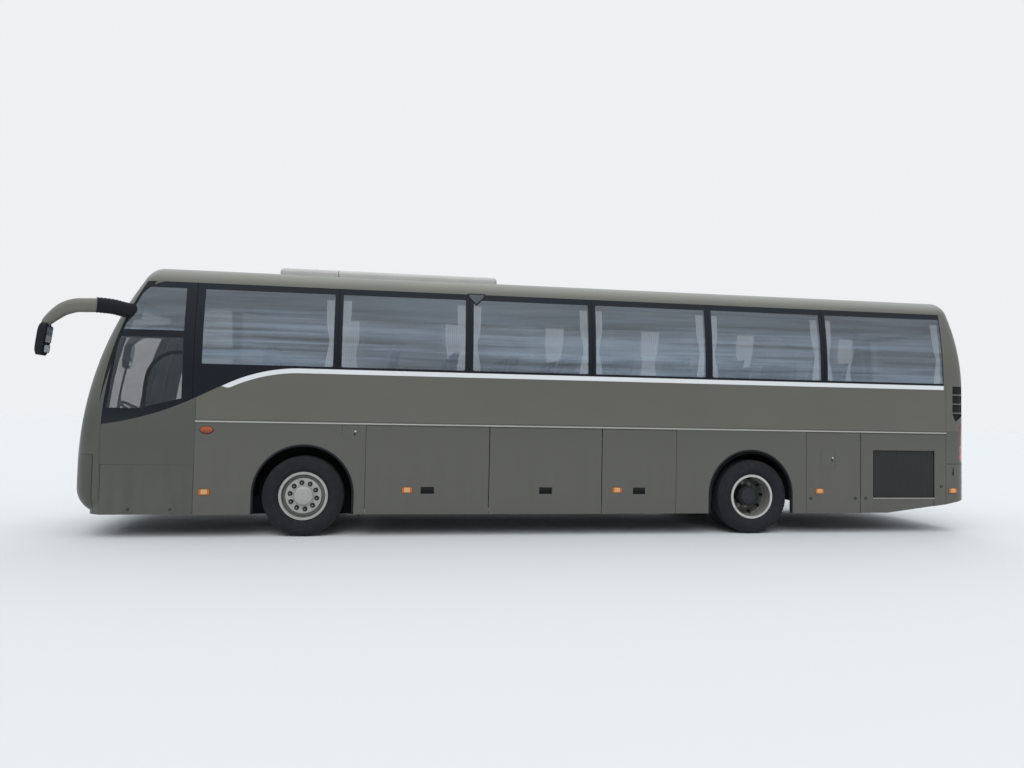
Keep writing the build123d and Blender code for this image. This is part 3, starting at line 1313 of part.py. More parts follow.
def mirror_head(side):
    """The head, with rounded upright corners."""
    with BuildPart() as head:
        with BuildSketch(Plane.XY.offset(MIRROR_HEAD_ZS[0])):
            with Locations((NOSE + MIRROR_REACH - MIRROR_HEAD[0] / 2, side * MIRROR_Y)):
                RectangleRounded(MIRROR_HEAD[0], MIRROR_HEAD[1], MIRROR_CORNER_R)
        extrude(amount=MIRROR_HEAD_ZS[1] - MIRROR_HEAD_ZS[0])
    return head.part


# Mirrors on both sides of the nose
with BuildPart() as mirrors:
    for side in (LEFT, RIGHT):
        add(mirror_tube(side, MIRROR_ARM))
        add(mirror_bellows(side))
        add(mirror_head(side))
    add(OUTER, mode=Mode.SUBTRACT)
finish(mirrors.part, "mirrors")


def seat_side(x, z):
    """A seat in side view: the cushion and the leaning back, with rounded edges."""
    with BuildSketch(Plane.XZ) as outline:
        with BuildLine():
            Polyline(
                (x, z + CUSHION_BOTTOM),
                (x, z + CUSHION_TOP),
                (x - CUSHION_LENGTH, z + CUSHION_TOP - 20),
                (x - CUSHION_LENGTH - BACK_LEAN, z + BACK_TOP),
                (x - CUSHION_LENGTH - BACK_LEAN - BACK_THICKNESS, z + BACK_TOP - 25),
                (x - CUSHION_LENGTH - BACK_THICKNESS, z + CUSHION_BOTTOM),
                close=True,
            )
        make_face()
        fillet(outline.vertices().sort_by(Axis.Y)[2:], SEAT_EDGE_R)
    return outline.sketch


def seat(x, y, z, width, side):
    """A seat on its pedestal, from one side of its width to the other."""
    with BuildPart() as chair:
        extrude(seat_side(x, z), amount=REACH, both=True)
        block((x - SEAT_PITCH, x), (y, y + side * width), (z, z + BACK_TOP), mode=Mode.INTERSECT)
        middle_y = y + side * width / 2
        block((x - CUSHION_LENGTH + 40, x - 90), (middle_y - SEAT_LEG / 2, middle_y + SEAT_LEG / 2),
              (z, z + CUSHION_BOTTOM + 1))
    return chair.part


# Saloon seats in pairs, and the driver's seat
with BuildPart() as seats:
    for row in range(SEAT_ROWS):
        x = SEAT_FRONT - row * SEAT_PITCH
        for side in (LEFT, RIGHT):
            if side == RIGHT and x - SEAT_PITCH < DOORS[1][1] and x > DOORS[1][2]:
                continue
            for y in (SEAT_AISLE_Y, SEAT_AISLE_Y + SEAT_WIDTH + SEAT_SPACE):
                add(seat(x, side * y, FLOOR_Z, SEAT_WIDTH, side))
    add(seat(DRIVER_SEAT_X, DRIVER_SEAT_Y, CAB_FLOOR_Z, SEAT_WIDTH + 50, LEFT))
finish(seats.part, "seats")

# Dashboard with the steering column and wheel
with BuildPart() as dashboard:
    block((NOSE - 560, NOSE), (-250, HALF), (CAB_FLOOR_Z, CAB_FLOOR_Z + 390))
    add(INNER, mode=Mode.INTERSECT)
    with BuildSketch(STEERING_PLANE):
        Circle(STEERING_WHEEL_R + STEERING_GRIP)
        Circle(STEERING_WHEEL_R - STEERING_GRIP, mode=Mode.SUBTRACT)
    extrude(amount=STEERING_GRIP, both=True)
    with Locations(STEERING_PLANE):
        Cylinder(25, 300, align=(Align.CENTER, Align.CENTER, Align.MAX))
        with PolarLocations(0, 3):
            Box(STEERING_WHEEL_R, 30, 12, align=(Align.MIN, Align.CENTER, Align.CENTER))
finish(dashboard.part, "dashboard")

# Luggage racks above the side windows
with BuildPart() as racks:
    for side in (LEFT, RIGHT):
        block((TAIL + 600, FRONT_AXLE + 1000), (side * RACK_Y, side * HALF), (RACK_Z, RACK_Z + RACK_SHELF))
        block((TAIL + 600, FRONT_AXLE + 1000), (side * RACK_Y, side * (RACK_Y + 20)),
              (RACK_Z + RACK_SHELF, RACK_Z + RACK_LIP))
    add(INNER, mode=Mode.INTERSECT)
finish(racks.part, "luggage_racks")

# Curtains: a plain gathered strip against each window pillar
with BuildPart() as curtains:
    extrude(section(WALL + SEAT_GAP), amount=-TAIL, dir=(-1, 0, 0))
    extrude(section(WALL + SEAT_GAP), amount=NOSE, dir=(1, 0, 0))
    extrude(section(WALL + SEAT_GAP + CURTAIN), amount=REACH - TAIL, dir=(-1, 0, 0), mode=Mode.SUBTRACT)
    extrude(section(WALL + SEAT_GAP + CURTAIN), amount=REACH + NOSE, dir=(1, 0, 0), mode=Mode.SUBTRACT)
    with BuildSketch(Plane.XZ) as strips:
        for x in PILLARS[1:] + [WINDOW_REAR - PILLAR_WIDTH / 2]:
            reach = PILLAR_WIDTH / 2 + CURTAIN_SHOWS
            add(box_outline(x - reach, x + reach, WINDOW_BOTTOM_Z - 10, RACK_Z - 10))
    across(strips.sketch)
    add(INNER, mode=Mode.INTERSECT)
finish(curtains.part, "curtains")


def wiper_outline():
    """Both wipers in front view: an arm from its spindle and the blade that it carries."""
    with BuildSketch(Plane.YZ) as outline:
        for pivot, tip in WIPERS:
            with Locations(pivot):
                Circle(WIPER_BOSS)
            with BuildLine() as arm:
                Line(pivot, tip)
            add(trace(arm.line, WIPER_ARM))
            with BuildLine() as blade:
                Line((tip[0] - 60, tip[1] - WIPER_BLADE / 2), (tip[0] + 60, tip[1] + WIPER_BLADE / 2))
            add(trace(blade.line, WIPER_ARM))
    return outline.sketch


# Windscreen wipers, parked near the middle of the screen
with BuildPart() as wipers:
    add(envelope(-WIPER_PROUD))
    add(envelope(-SEAT_GAP), mode=Mode.SUBTRACT)
    along(wiper_outline(), 1)
finish(wipers.part, "wipers")
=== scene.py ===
"""Finishes and fine detail for a touring coach, built round its fixed frame."""

import json
from functools import partialmethod
from math import cos, pi, radians, sin

import bmesh
import bpy
import numpy as np
from mathutils import Matrix, Vector


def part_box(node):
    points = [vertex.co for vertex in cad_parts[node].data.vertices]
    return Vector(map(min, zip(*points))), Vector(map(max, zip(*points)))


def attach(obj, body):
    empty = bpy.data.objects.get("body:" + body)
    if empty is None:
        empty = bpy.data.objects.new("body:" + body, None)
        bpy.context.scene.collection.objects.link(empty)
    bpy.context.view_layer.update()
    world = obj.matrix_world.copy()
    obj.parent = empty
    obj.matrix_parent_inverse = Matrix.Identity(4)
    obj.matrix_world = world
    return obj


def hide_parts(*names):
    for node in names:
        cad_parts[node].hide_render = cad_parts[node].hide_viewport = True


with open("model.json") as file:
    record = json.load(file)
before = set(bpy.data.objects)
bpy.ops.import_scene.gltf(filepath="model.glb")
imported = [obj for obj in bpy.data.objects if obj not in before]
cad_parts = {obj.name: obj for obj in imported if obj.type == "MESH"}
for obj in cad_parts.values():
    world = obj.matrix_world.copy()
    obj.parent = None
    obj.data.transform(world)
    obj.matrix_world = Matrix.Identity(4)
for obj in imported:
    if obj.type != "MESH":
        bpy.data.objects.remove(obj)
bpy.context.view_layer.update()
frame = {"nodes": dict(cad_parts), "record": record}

bl_info = {
    "name": "Touring coach",
    "version": (1, 0, 0),
    "blender": (4, 5, 0),
    "location": "3D View > Sidebar > Coach",
    "description": "Finishes and fine detail for a two-axle touring coach",
    "category": "Object",
}


def middle(node):
    """The middle of a fixed piece's box."""
    low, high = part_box(node)
    return (np.array(low) + np.array(high)) / 2


# Places of the body, in metres: the frame gives the axles, and the rest follows the body's own drawing
FRONT_AXLE = float(middle("front_tyre_left")[0])
REAR_AXLE = float(middle("rear_tyre_left")[0])
AXLE_Z = float(middle("front_tyre_left")[2])
TYRE_R = AXLE_Z - float(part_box("front_tyre_left")[0][2])
HALF = float(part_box("left_side")[1][1])
NOSE = float(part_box("bumpers")[1][0])
WAIST_Z = 2.118
TUMBLEHOME_R = 4.7
TUMBLEHOME_RISE = 1.033
SCREEN_FOOT_Z = 1.32
SCREEN_LEAN = 0.0719
GLASS_TOP_Z = 3.165
GLASS_REAR = FRONT_AXLE - 8.98
SWEEP_START = 0.06
SWEEP_TOP_R = 2.0
SWEEP_ANGLE = 27
SWEEP_SLOPE = 0.396
SWEEP_FOOT_R = 3.487
SWEEP_FOOT_ARC = 18.6
CAB_SEAM = FRONT_AXLE + 1.31
ARCH_TOP_Z = 1.138
FRONT_ARCH_R = 0.605
REAR_ARCH_R = 0.597
REAR_ARCH_X = REAR_AXLE + 0.04
SKIRT_Z = 0.285
NOSE_SEAM = FRONT_AXLE + 2.4
TAIL_SEAM = REAR_AXLE - 2.967
RAIL_Z = 1.423
BUMPER_TOP_Z = 1.01
TAIL_BUMPER_Z = 0.985
WALL = 0.045
WINDOW_BOTTOM_Z = 2.145
WINDOW_TOP_Z = 3.085
WINDOW_REAR = FRONT_AXLE - 8.967
PILLARS = [FRONT_AXLE + x for x in (1.353, -0.38, -2.064, -3.723, -5.382, -7.104)]
PILLAR_WIDTH = 0.105
CURTAIN_REACH = PILLAR_WIDTH / 2 + 0.11
CURTAIN_TOP_Z = 3.02
CURTAIN_FOOT_Z = 2.135
BOLT_CIRCLE_R = 0.1675
FRONT_BOLT_Y = 1.1865
REAR_BOLT_Y = 0.9465
FRONT_CAP_Y = 1.2085
REAR_CAP_Y = 1.122
TYRE_Y = 1.1025
TWIN_Y = 0.7625
HANDLE_XS = [FRONT_AXLE + x for x in (-1.556, -3.111, -4.397)]
HANDLE_Z = 0.588
HANDLE_REACH = 0.086
GRILLE_X = (-5.665, -4.693)
GRILLE_Z = (0.504, 1.173)
VENT_X = (FRONT_AXLE - 9.35, FRONT_AXLE - 9.122)
VENT_TOP_Z = 2.11
COOLER_BOLT_XS = (3.49, 3.118, 2.573, 2.049, 1.522, 1.014, 0.85)
COOLER_BOLT_Y = 0.79
COOLER_FLANGE_Z = 3.4635
MIRROR_Y = 1.44
MIRROR_TOP = np.array((6.145, MIRROR_Y, 2.562))
MIRROR_LEAN = np.array((0.045, 0, -0.38))
SEAT_PITCH = 0.8
SEAT_ROWS = [FRONT_AXLE + 1.15 - SEAT_PITCH * row for row in range(11)]
CLOTH_PITCH = 0.024
CLOTH_FRAMES = 20
SWELL = 0.012
MID_DOOR_X = (FRONT_AXLE - 4.832, FRONT_AXLE - 3.916)
FLOOR_Z = 1.33
CAB_FLOOR_Z = 0.98
LEFT = 1
RIGHT = -1
SIDES = ((LEFT, "left"), (RIGHT, "right"))


def panel_length(name, description, default):
    """A length in the panel."""
    return bpy.props.FloatProperty(name=name, description=description, default=default, unit="LENGTH")


def panel_colour(name, description, default):
    """A colour in the panel."""
    return bpy.props.FloatVectorProperty(name=name, description=description, default=default, subtype="COLOR", size=3)


class CoachSizes(bpy.types.PropertyGroup):
    """Sizes of the detail that a user would change."""

    stripe_height: panel_length("Stripe height", "Height of the pale stripe under the windows", 0.058)
    stripe_front: panel_length("Stripe front", "Where the stripe starts, ahead of the front axle", 1.045)
    lip_width: panel_length("Arch lip", "Width of the rubber lip round a wheel arch", 0.022)
    groove_depth: panel_length("Tread groove depth", "Depth of the grooves round a tyre", 0.012)
    pleat_depth: panel_length("Pleat depth", "Depth of the curtains' pleats", 0.009)
    pleats: bpy.props.IntProperty(name="Pleats", description="Pleats across one curtain", default=9, min=3)
    nut_radius: panel_length("Wheel nut", "Radius of a wheel nut across its corners", 0.023)
    lock_radius: panel_length("Flap lock", "Radius of a flap's round lock", 0.021)


class CoachColours(bpy.types.PropertyGroup):
    """Colours of the finishes."""

    paint: panel_colour("Paint", "Body paint", (0.122, 0.115, 0.098))
    dust: panel_colour("Dust", "Road dust low on the body", (0.155, 0.15, 0.138))
    stripe: panel_colour("Stripe", "Stripe under the windows", (0.66, 0.67, 0.68))
    glass: panel_colour("Glass", "Tint of the side glass", (0.018, 0.023, 0.03))
    cooler: panel_colour("Roof cooler", "Paint of the roof cooler", (0.44, 0.42, 0.4))
    amber: panel_colour("Amber lens", "Side marker lenses", (0.72, 0.2, 0.025))
    red: panel_colour("Red lens", "Tail lamp lenses", (0.2, 0.012, 0.012))
    curtain: panel_colour("Curtain", "Curtain cloth", (0.72, 0.74, 0.77))
    seat: panel_colour("Seat cloth", "Seat cloth", (0.06, 0.075, 0.13))
    wheel: panel_colour("Wheel", "Silver paint of the wheels", (0.42, 0.41, 0.39))
    rubber: panel_colour("Rubber", "Tyres and seals", (0.011, 0.012, 0.014))
    floor: panel_colour("Floor", "Floor of the studio", (0.56, 0.56, 0.555))


class Value:
    """A value that flows between shader nodes: arithmetic on it adds Math nodes."""

    def __init__(self, shader, socket):
        self.shader = shader
        self.socket = socket

    def math(self, operation, *others):
        """Put this value and up to two more through a Math node."""
        values = {index: other for index, other in enumerate((self, *others))}
        return self.shader.node("ShaderNodeMath", {"operation": operation}, values)

    def __rsub__(self, other):
        return (self * -1) + other


# Python's operators and the Math node that each one adds
for word, operation in (
    ("add", "ADD"), ("radd", "ADD"), ("mul", "MULTIPLY"), ("rmul", "MULTIPLY"), ("sub", "SUBTRACT"),
    ("truediv", "DIVIDE"), ("gt", "GREATER_THAN"), ("lt", "LESS_THAN"), ("abs", "ABSOLUTE"), ("or", "MAXIMUM"),
):
    setattr(Value, f"__{word}__", partialmethod(Value.math, operation))


class Shader:
    """The nodes of a world, or of a new material where a name is given."""

    def __init__(self, owner, place="Object"):
        self.owner = bpy.data.materials.new(owner) if isinstance(owner, str) else owner
        self.owner.use_nodes = True
        self.tree = self.owner.node_tree
        self.tree.nodes.clear()
        self.place = self.node("ShaderNodeTexCoord", output=place)
        parts = self.node("ShaderNodeSeparateXYZ", inputs={0: self.place}, output=None)
        self.x, self.y, self.z = (Value(self, parts.outputs[i]) for i in range(3))

    def node(self, kind, settings=None, inputs=None, output=0):
        """Add a node, make its settings, then fill or link its sockets and give back one output."""
        made = self.tree.nodes.new(kind)
        for key, value in (settings or {}).items():
            if key == "stops":
                for index, (position, colour) in enumerate(value):
                    new = index >= len(made.color_ramp.elements)
                    stop = made.color_ramp.elements.new(position) if new else made.color_ramp.elements[index]
                    stop.position = position
                    stop.color = colour
            else:
                setattr(made, key, value)
        for key, value in (inputs or {}).items():
            if isinstance(value, Value):
                self.tree.links.new(value.socket, made.inputs[key])
            else:
                made.inputs[key].default_value = value
        if output is None:
            return made
        return Value(self, made.outputs[output])

    def noise(self, scale, detail=2.0, rough=0.5, stretch=(1, 1, 1)):
        """Fractal noise from 0 to 1 on the object's own coordinates, stretched along the axes."""
        place = self.node("ShaderNodeMapping", inputs={"Vector": self.place, "Scale": stretch})
        return self.node(
            "ShaderNodeTexNoise", inputs={"Vector": place, "Scale": scale, "Detail": detail, "Roughness": rough}
        )

    def ramp(self, value, low, high):
        """0 where the value is at low, 1 at high, with a smooth step between."""
        return self.node(
            "ShaderNodeMapRange",
            {"interpolation_type": "SMOOTHSTEP"},
            {"Value": value, "From Min": low, "From Max": high},
        )

    def inside(self, value, low, high, edge=0.001):
        """1 between low and high, 0 outside, with a narrow edge."""
        return self.ramp(value, low - edge, low + edge) * self.ramp(value, high + edge, high - edge)

    def mix(self, factor, first, second):
        """Blend two colours."""
        first, second = (tuple(c)[:3] + (1,) if not isinstance(c, Value) else c for c in (first, second))
        return self.node("ShaderNodeMix", {"data_type": "RGBA"}, {0: factor, 6: first, 7: second}, output=2)

    def coats(self, tone, *coats):
        """Blend more colours over a first one in turn, each by its own factor."""
        for factor, colour in coats:
            tone = self.mix(factor, tone, colour)
        return tone

    def cells(self, first, second, rate):
        """Crossed waves from 0 to 1: half of sin(rate·first)·sin(rate·second), plus a half."""
        return (first * rate).math("SINE") * (second * rate).math("SINE") * 0.5 + 0.5

    def bump(self, height, distance, strength=1.0):
        """A normal that follows a height."""
        return self.node("ShaderNodeBump", inputs={"Height": height, "Distance": distance, "Strength": strength})

    def layer(self, **inputs):
        """A Principled BSDF; words in the sockets' names are joined by underscores."""
        named = {key.replace("_", " "): value for key, value in inputs.items()}
        for key in ("Base Color", "Emission Color"):
            if key in named and not isinstance(named[key], Value):
                named[key] = tuple(named[key])[:3] + (1,)
        return self.node("ShaderNodeBsdfPrincipled", inputs=named)

    def blend(self, factor, first, second):
        """Blend two layers."""
        return self.node("ShaderNodeMixShader", inputs={0: factor, 1: first, 2: second})

    def end(self, layer, kind="Material"):
        """Lead a layer to the output and give back the material or the world."""
        self.node(f"ShaderNodeOutput{kind}", inputs={"Surface": layer}, output=None)
        return self.owner

    def surface(self, **inputs):
        """End in one Principled BSDF and give back the material."""
        return self.end(self.layer(**inputs))

    def polar(self):
        """Distance from the nearer axle in side view, the angle round it, and 1 at the front axle."""
        front = self.x > 0
        along = self.x - (front * (FRONT_AXLE - REAR_AXLE) + REAR_AXLE)
        rise = self.z - AXLE_Z
        return (along * along + rise * rise).math("SQRT"), rise.math("ARCTAN2", along), front


class Shell:
    """Gathers grids of points into one mesh."""

    def __init__(self):
        self.points = []
        self.corners = []
        self.sizes = []
        self.tags = []
        self.count = 0

    def grid(self, points, wrap_u=False, wrap_v=False, caps=False, flip=False, tag=0):
        """Add a grid of shape (u, v, 3); wrap joins its ends, and caps closes the first and last u rows."""
        u_count, v_count = points.shape[:2]
        index = np.arange(u_count * v_count).reshape(u_count, v_count) + self.count
        ends = (index[0], index[-1][::-1]) if caps else ()
        index = np.pad(index, ((0, int(wrap_u)), (0, int(wrap_v))), mode="wrap")
        quads = np.stack([index[:-1, :-1], index[1:, :-1], index[1:, 1:], index[:-1, 1:]], axis=-1).reshape(-1, 4)
        if flip:
            quads = quads[:, ::-1]
        self.points.append(points.reshape(-1, 3))
        self.corners.append(quads.reshape(-1))
        self.sizes.append(np.full(len(quads), 4))
        for end in ends:
            self.corners.append(end)
            self.sizes.append(np.array([len(end)]))
        self.tags.append(np.full(len(quads) + len(ends), tag))
        self.count += u_count * v_count

    def soft(self, points, corners, sizes, flip=False, tag=0):
        """Add a ready mesh: its points, its faces' corners and the number of corners of each face."""
        if flip:
            corners = flip_faces(corners, sizes)
        self.points.append(points)
        self.corners.append(corners + self.count)
        self.sizes.append(sizes)
        self.tags.append(np.full(len(sizes), tag))
        self.count += len(points)

    def finish(self, name, finishes, body="coach", slot="black_plastic", closed=True, sharp=40):
        """Make the mesh and its object in the named finishes and ride it on its body; the slot argument is not used.
        """
        points = np.concatenate(self.points)
        corners = np.concatenate(self.corners)
        sizes = np.concatenate(self.sizes)
        mesh = bpy.data.meshes.new(name)
        mesh.vertices.add(len(points))
        mesh.vertices.foreach_set("co", points.astype(np.float32).ravel())
        mesh.loops.add(len(corners))
        mesh.loops.foreach_set("vertex_index", corners.astype(np.int32))
        mesh.polygons.add(len(sizes))
        mesh.polygons.foreach_set("loop_start", (np.cumsum(sizes) - sizes).astype(np.int32))
        mesh.polygons.foreach_set("loop_total", sizes.astype(np.int32))
        for finish in finishes.split():
            mesh.materials.append(FINISHES[finish])
        mesh.polygons.foreach_set("material_index", np.concatenate(self.tags).astype(np.int32))
        mesh.update(calc_edges=True)
        mesh.validate()
        if closed:
            work = bmesh.new()
            work.from_mesh(mesh)
            bmesh.ops.remove_doubles(work, verts=work.verts, dist=1e-6)
            bmesh.ops.recalc_face_normals(work, faces=work.faces)
            work.to_mesh(mesh)
            work.free()
        mesh.polygons.foreach_set("use_smooth", np.full(len(mesh.polygons), True))
        mesh.set_sharp_from_angle(angle=radians(sharp))
        piece = bpy.data.objects.new(name, mesh)
        bpy.context.scene.collection.objects.link(piece)
        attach(piece, body)
        return piece


def flip_faces(corners, sizes):
    """Turn faces round: within each face, corner k of n becomes corner n - 1 - k."""
    starts = np.repeat(np.cumsum(sizes) - sizes, sizes)
    counts = np.repeat(sizes, sizes)
    return corners[2 * starts + counts - 1 - np.arange(len(corners))]


def side_y(z):
    """The body's half width at a height: straight to the waist, then drawn in along an arc."""
    rise = np.clip(np.asarray(z, float) - WAIST_Z, 0, TUMBLEHOME_RISE)
    return HALF - (TUMBLEHOME_R - np.sqrt(TUMBLEHOME_R**2 - rise**2))


def on_side(x, z, side, proud=0.0):
    """Points on the body's side at places in side view: y is the half width there plus how proud they stand."""
    x, z = np.broadcast_arrays(np.asarray(x, float), np.asarray(z, float))
    return np.stack([x, side * (side_y(z) + proud), z], axis=-1)


def ring(count):
    """Angles evenly round a circle, without the last."""
    return np.arange(count) * 2 * pi / count


def across_path(path, away, y):
    """Carry a profile down a path in side view: path + left normal · away, at y across the coach."""
    tangent = np.gradient(path, axis=0)
    tangent /= np.linalg.norm(tangent, axis=1, keepdims=True)
    normals = np.stack([-tangent[:, 1], tangent[:, 0]], axis=1)
    flat = path[:, None] + normals[:, None] * away[..., None]
    return np.stack([flat[..., 0], np.broadcast_to(y, flat.shape[:2]), flat[..., 1]], axis=-1)


def sweep_line(reach):
    """The glass band's sill, tail to a reach: level, an arc down, a slope and an arc that levels out."""
    start = FRONT_AXLE + SWEEP_START
    level = np.stack([np.linspace(GLASS_REAR, start, 60), np.full(60, WAIST_Z)], axis=1)
    fall = radians(SWEEP_ANGLE)
    turn = np.linspace(0, fall, 25)[1:]
    drop = np.stack([start + SWEEP_TOP_R * np.sin(turn), WAIST_Z - SWEEP_TOP_R * (1 - np.cos(turn))], axis=1)
    along = np.linspace(0, SWEEP_SLOPE, 8)[1:, None]
    slope = drop[-1] + along * np.array([cos(fall), -sin(fall)])
    level_out = np.linspace(0, radians(SWEEP_FOOT_ARC), 25)[1:]
    centre = slope[-1] + SWEEP_FOOT_R * np.array([sin(fall), cos(fall)])
    foot = centre - SWEEP_FOOT_R * np.stack([np.sin(fall - level_out), np.cos(fall - level_out)], axis=1)
    path = np.concatenate([level, drop, slope, foot])
    return path[path[:, 0] < reach]


def rounded(width, height, radius, count=6):
    """The outline of a rounded rectangle round its middle, anticlockwise, as (n, 2) points."""
    turn = np.linspace(0, pi / 2, count)
    corner = np.stack([np.cos(turn), np.sin(turn)], axis=1) * radius
    outline = []
    for quarter in range(4):
        spin = quarter * pi / 2
        way = np.array([[cos(spin), sin(spin)], [-sin(spin), cos(spin)]])
        signs = np.array([(1, 1), (-1, 1), (-1, -1), (1, -1)][quarter])
        centre = signs * np.array([width / 2 - radius, height / 2 - radius])
        outline.append(centre + corner @ way)
    return np.concatenate(outline)


def panel(shell, place, right, up, outline, layers, tag=0):
    """Stack an outline into a closed plate: place + (right·a + up·b)·(1 - shrink) + (right × up)·height."""
    place, right, up = (np.asarray(v, float) for v in (place, right, up))
    out = np.cross(right, up)
    flat = outline[:, :1] * right + outline[:, 1:] * up
    shrink, height = np.array(layers, float).T
    grid = place + flat[None] * (1 - shrink)[:, None, None] + out * height[:, None, None]
    shell.grid(grid, wrap_v=True, caps=True, tag=tag)


def side_panel(shell, side, x, z, outline, layers, tag=0):
    """The same on the body's side: on its upright part, or leaning with the tumblehome above the waist."""
    lean = np.arcsin(np.clip(z - WAIST_Z, 0, TUMBLEHOME_RISE) / TUMBLEHOME_R)
    up = (0, -side * sin(lean), cos(lean))
    panel(shell, on_side(x, z, side), (-side, 0, 0), up, outline, layers, tag)


def turned(shell, profile, centre, out, count, tag=0, axle=1):
    """Turn a profile of (radius, distance outboard) points about an axis, 1 for y or 2 for z; out is ±1."""
    radius, away = np.asarray(profile, float).T
    turn = ring(count)[:, None]
    grid = np.empty((count, len(radius), 3))
    grid[..., 0] = centre[0] + np.sin(turn) * radius
    grid[..., axle] = centre[axle] + out * away
    grid[..., 3 - axle] = centre[3 - axle] + np.cos(turn) * radius
    shell.grid(grid, wrap_u=True, tag=tag)


def curve(points, count=12):
    """A smooth line through points: half of 2b + (c - a)t + (2a - 5b + 4c - d)t² + (3b - a - 3c + d)t³."""
    points = np.asarray(points, float)
    points = np.concatenate([2 * points[:1] - points[1:2], points, 2 * points[-1:] - points[-2:-1]])
    a, b, c, d = points[:-3, None], points[1:-2, None], points[2:-1, None], points[3:, None]
    t = np.linspace(0, 1, count, endpoint=False)[None, :, None]
    line = 2 * b + (c - a) * t + (2 * a - 5 * b + 4 * c - d) * t**2 + (3 * b - a - 3 * c + d) * t**3
    return np.concatenate([line.reshape(-1, points.shape[1]) / 2, points[-2:-1]])


def tube(shell, path, across, deep, up=(0, 0, 1), count=12, square=1.0, tag=0):
    """A tube along a path: path + across·|cos t|^square·(up × along) + deep·|sin t|^square·(the third axis)."""
    along = np.gradient(path, axis=0)
    along /= np.linalg.norm(along, axis=1, keepdims=True)
    side = np.cross(np.broadcast_to(np.asarray(up, float), path.shape), along)
    side /= np.linalg.norm(side, axis=1, keepdims=True)
    rise = np.cross(along, side)
    turn = ring(count)[None, :, None]
    across, deep = (np.broadcast_to(v, len(path))[:, None, None] for v in (across, deep))
    cosine, sine = (np.sign(v) * np.abs(v) ** square for v in (np.cos(turn), np.sin(turn)))
    grid = path[:, None] + side[:, None] * across * cosine + rise[:, None] * deep * sine
    shell.grid(grid, wrap_v=True, caps=True, tag=tag)


def recesses(shade):
    """1 in the finger cups, the engine grille and the corner outlets, which are dark plastic inside."""
    reach = abs(shade.y)
    cups = sum(shade.inside(shade.x, x - HANDLE_REACH, x + HANDLE_REACH) for x in HANDLE_XS)
    cups = cups * shade.inside(shade.z, HANDLE_Z - 0.044, HANDLE_Z + 0.044) * (reach > 1.24)
    grille = shade.inside(shade.x, *GRILLE_X) * shade.inside(shade.z, *GRILLE_Z) * (shade.y > 1.2)
    step = (VENT_TOP_Z - shade.z) / 0.132
    cell = step.math("FRACT")
    slant = (step > 3) * cell * 1.18
    vents = shade.inside(cell, -0.01, 0.848) * shade.inside(step, 0, 3.85) * (reach > 1.02)
    vents = vents * (shade.x > slant * 0.182 + VENT_X[0]) * (shade.x < slant * -0.046 + VENT_X[1])
    return (cups + grille + vents).math("MINIMUM", 1)


def cab_edge(shade):
    """Where the cab's side windows end in front: a curve that leans back with height."""
    rise = shade.z - 1.375
    return rise * -0.0367 - rise * rise * 0.1267 + FRONT_AXLE + 2.4395


def paint_layer(shade, colours):
    """Metallic lacquer with faint flake and cloud, duller low down and dusty at the skirt, with painted shade below
    the moulding, on the cab's front low down and at the front bumper's corner, and painted light along the roof's
    edge.
    """
    cloud = shade.noise(1.1, 4, stretch=(1, 1, 2.2))
    streak = shade.noise(9, 3, stretch=(1, 1, 0.12))
    flake = shade.noise(700, 1)
    low = shade.ramp(shade.z, 1.5, 0.3)
    dirt = low * shade.ramp(streak * 0.6 + cloud * 0.5, 0.35, 0.75)
    paint = np.array(colours.paint)
    dust = np.array(colours.dust)
    # Masks of painted shade: below the moulding behind the cab, and on the cab's front, more so low down
    ahead = shade.x > CAB_SEAM
    below = (shade.z < 1.46) * (1 - ahead) * 0.45
    splash = shade.ramp(shade.z, 0.62, 0.3) * shade.ramp(streak + cloud * 0.4, 0.5, 0.95)
    low_down = shade.z < BUMPER_TOP_Z
    corner = shade.x > NOSE_SEAM + 0.066
    seam = shade.inside(shade.x, NOSE_SEAM + 0.066, NOSE_SEAM + 0.078) * low_down
    seam = seam + shade.inside(shade.z, BUMPER_TOP_Z - 0.004, BUMPER_TOP_Z + 0.003) * corner
    seam = seam + shade.inside(shade.z, TAIL_BUMPER_Z - 0.004, TAIL_BUMPER_Z + 0.006) * (shade.x < TAIL_SEAM)
    tone = shade.coats(
        paint, (shade.ramp(cloud, 0.3, 0.75) * 0.22, paint * 0.8), (shade.ramp(flake, 0.55, 0.8) * 0.12, paint * 1.7),
        # Painted shade below the moulding and on the cab's front
        (below + ahead * shade.ramp(shade.z, 2.4, 1.1) * 0.85, paint * (0.5, 0.54, 0.56)),
        # Painted light: the paint turns paler towards the roof's edge; then real dust and splashes low down
        (shade.ramp(shade.z, 3.17, 3.3) * 0.6, paint * 2.0 + 0.02), (dirt * 0.35, dust), (splash * 0.35, dust * 0.62),
        # Painted shade at the front bumper's corner below its top; then the dark seams
        (low_down * corner * 0.45, paint * 0.4), (seam.math("MINIMUM", 1) * 0.85, (0.01, 0.01, 0.01)),
    )
    return shade.layer(
        Base_Color=tone, Metallic=0.35, Roughness=0.32 + dirt * 0.25 + streak * 0.06, Coat_Weight=0.35 - dirt * 0.2,
        Coat_Roughness=0.08, Normal=shade.bump(cloud - seam * 3, 0.0015, 0.3),
    )


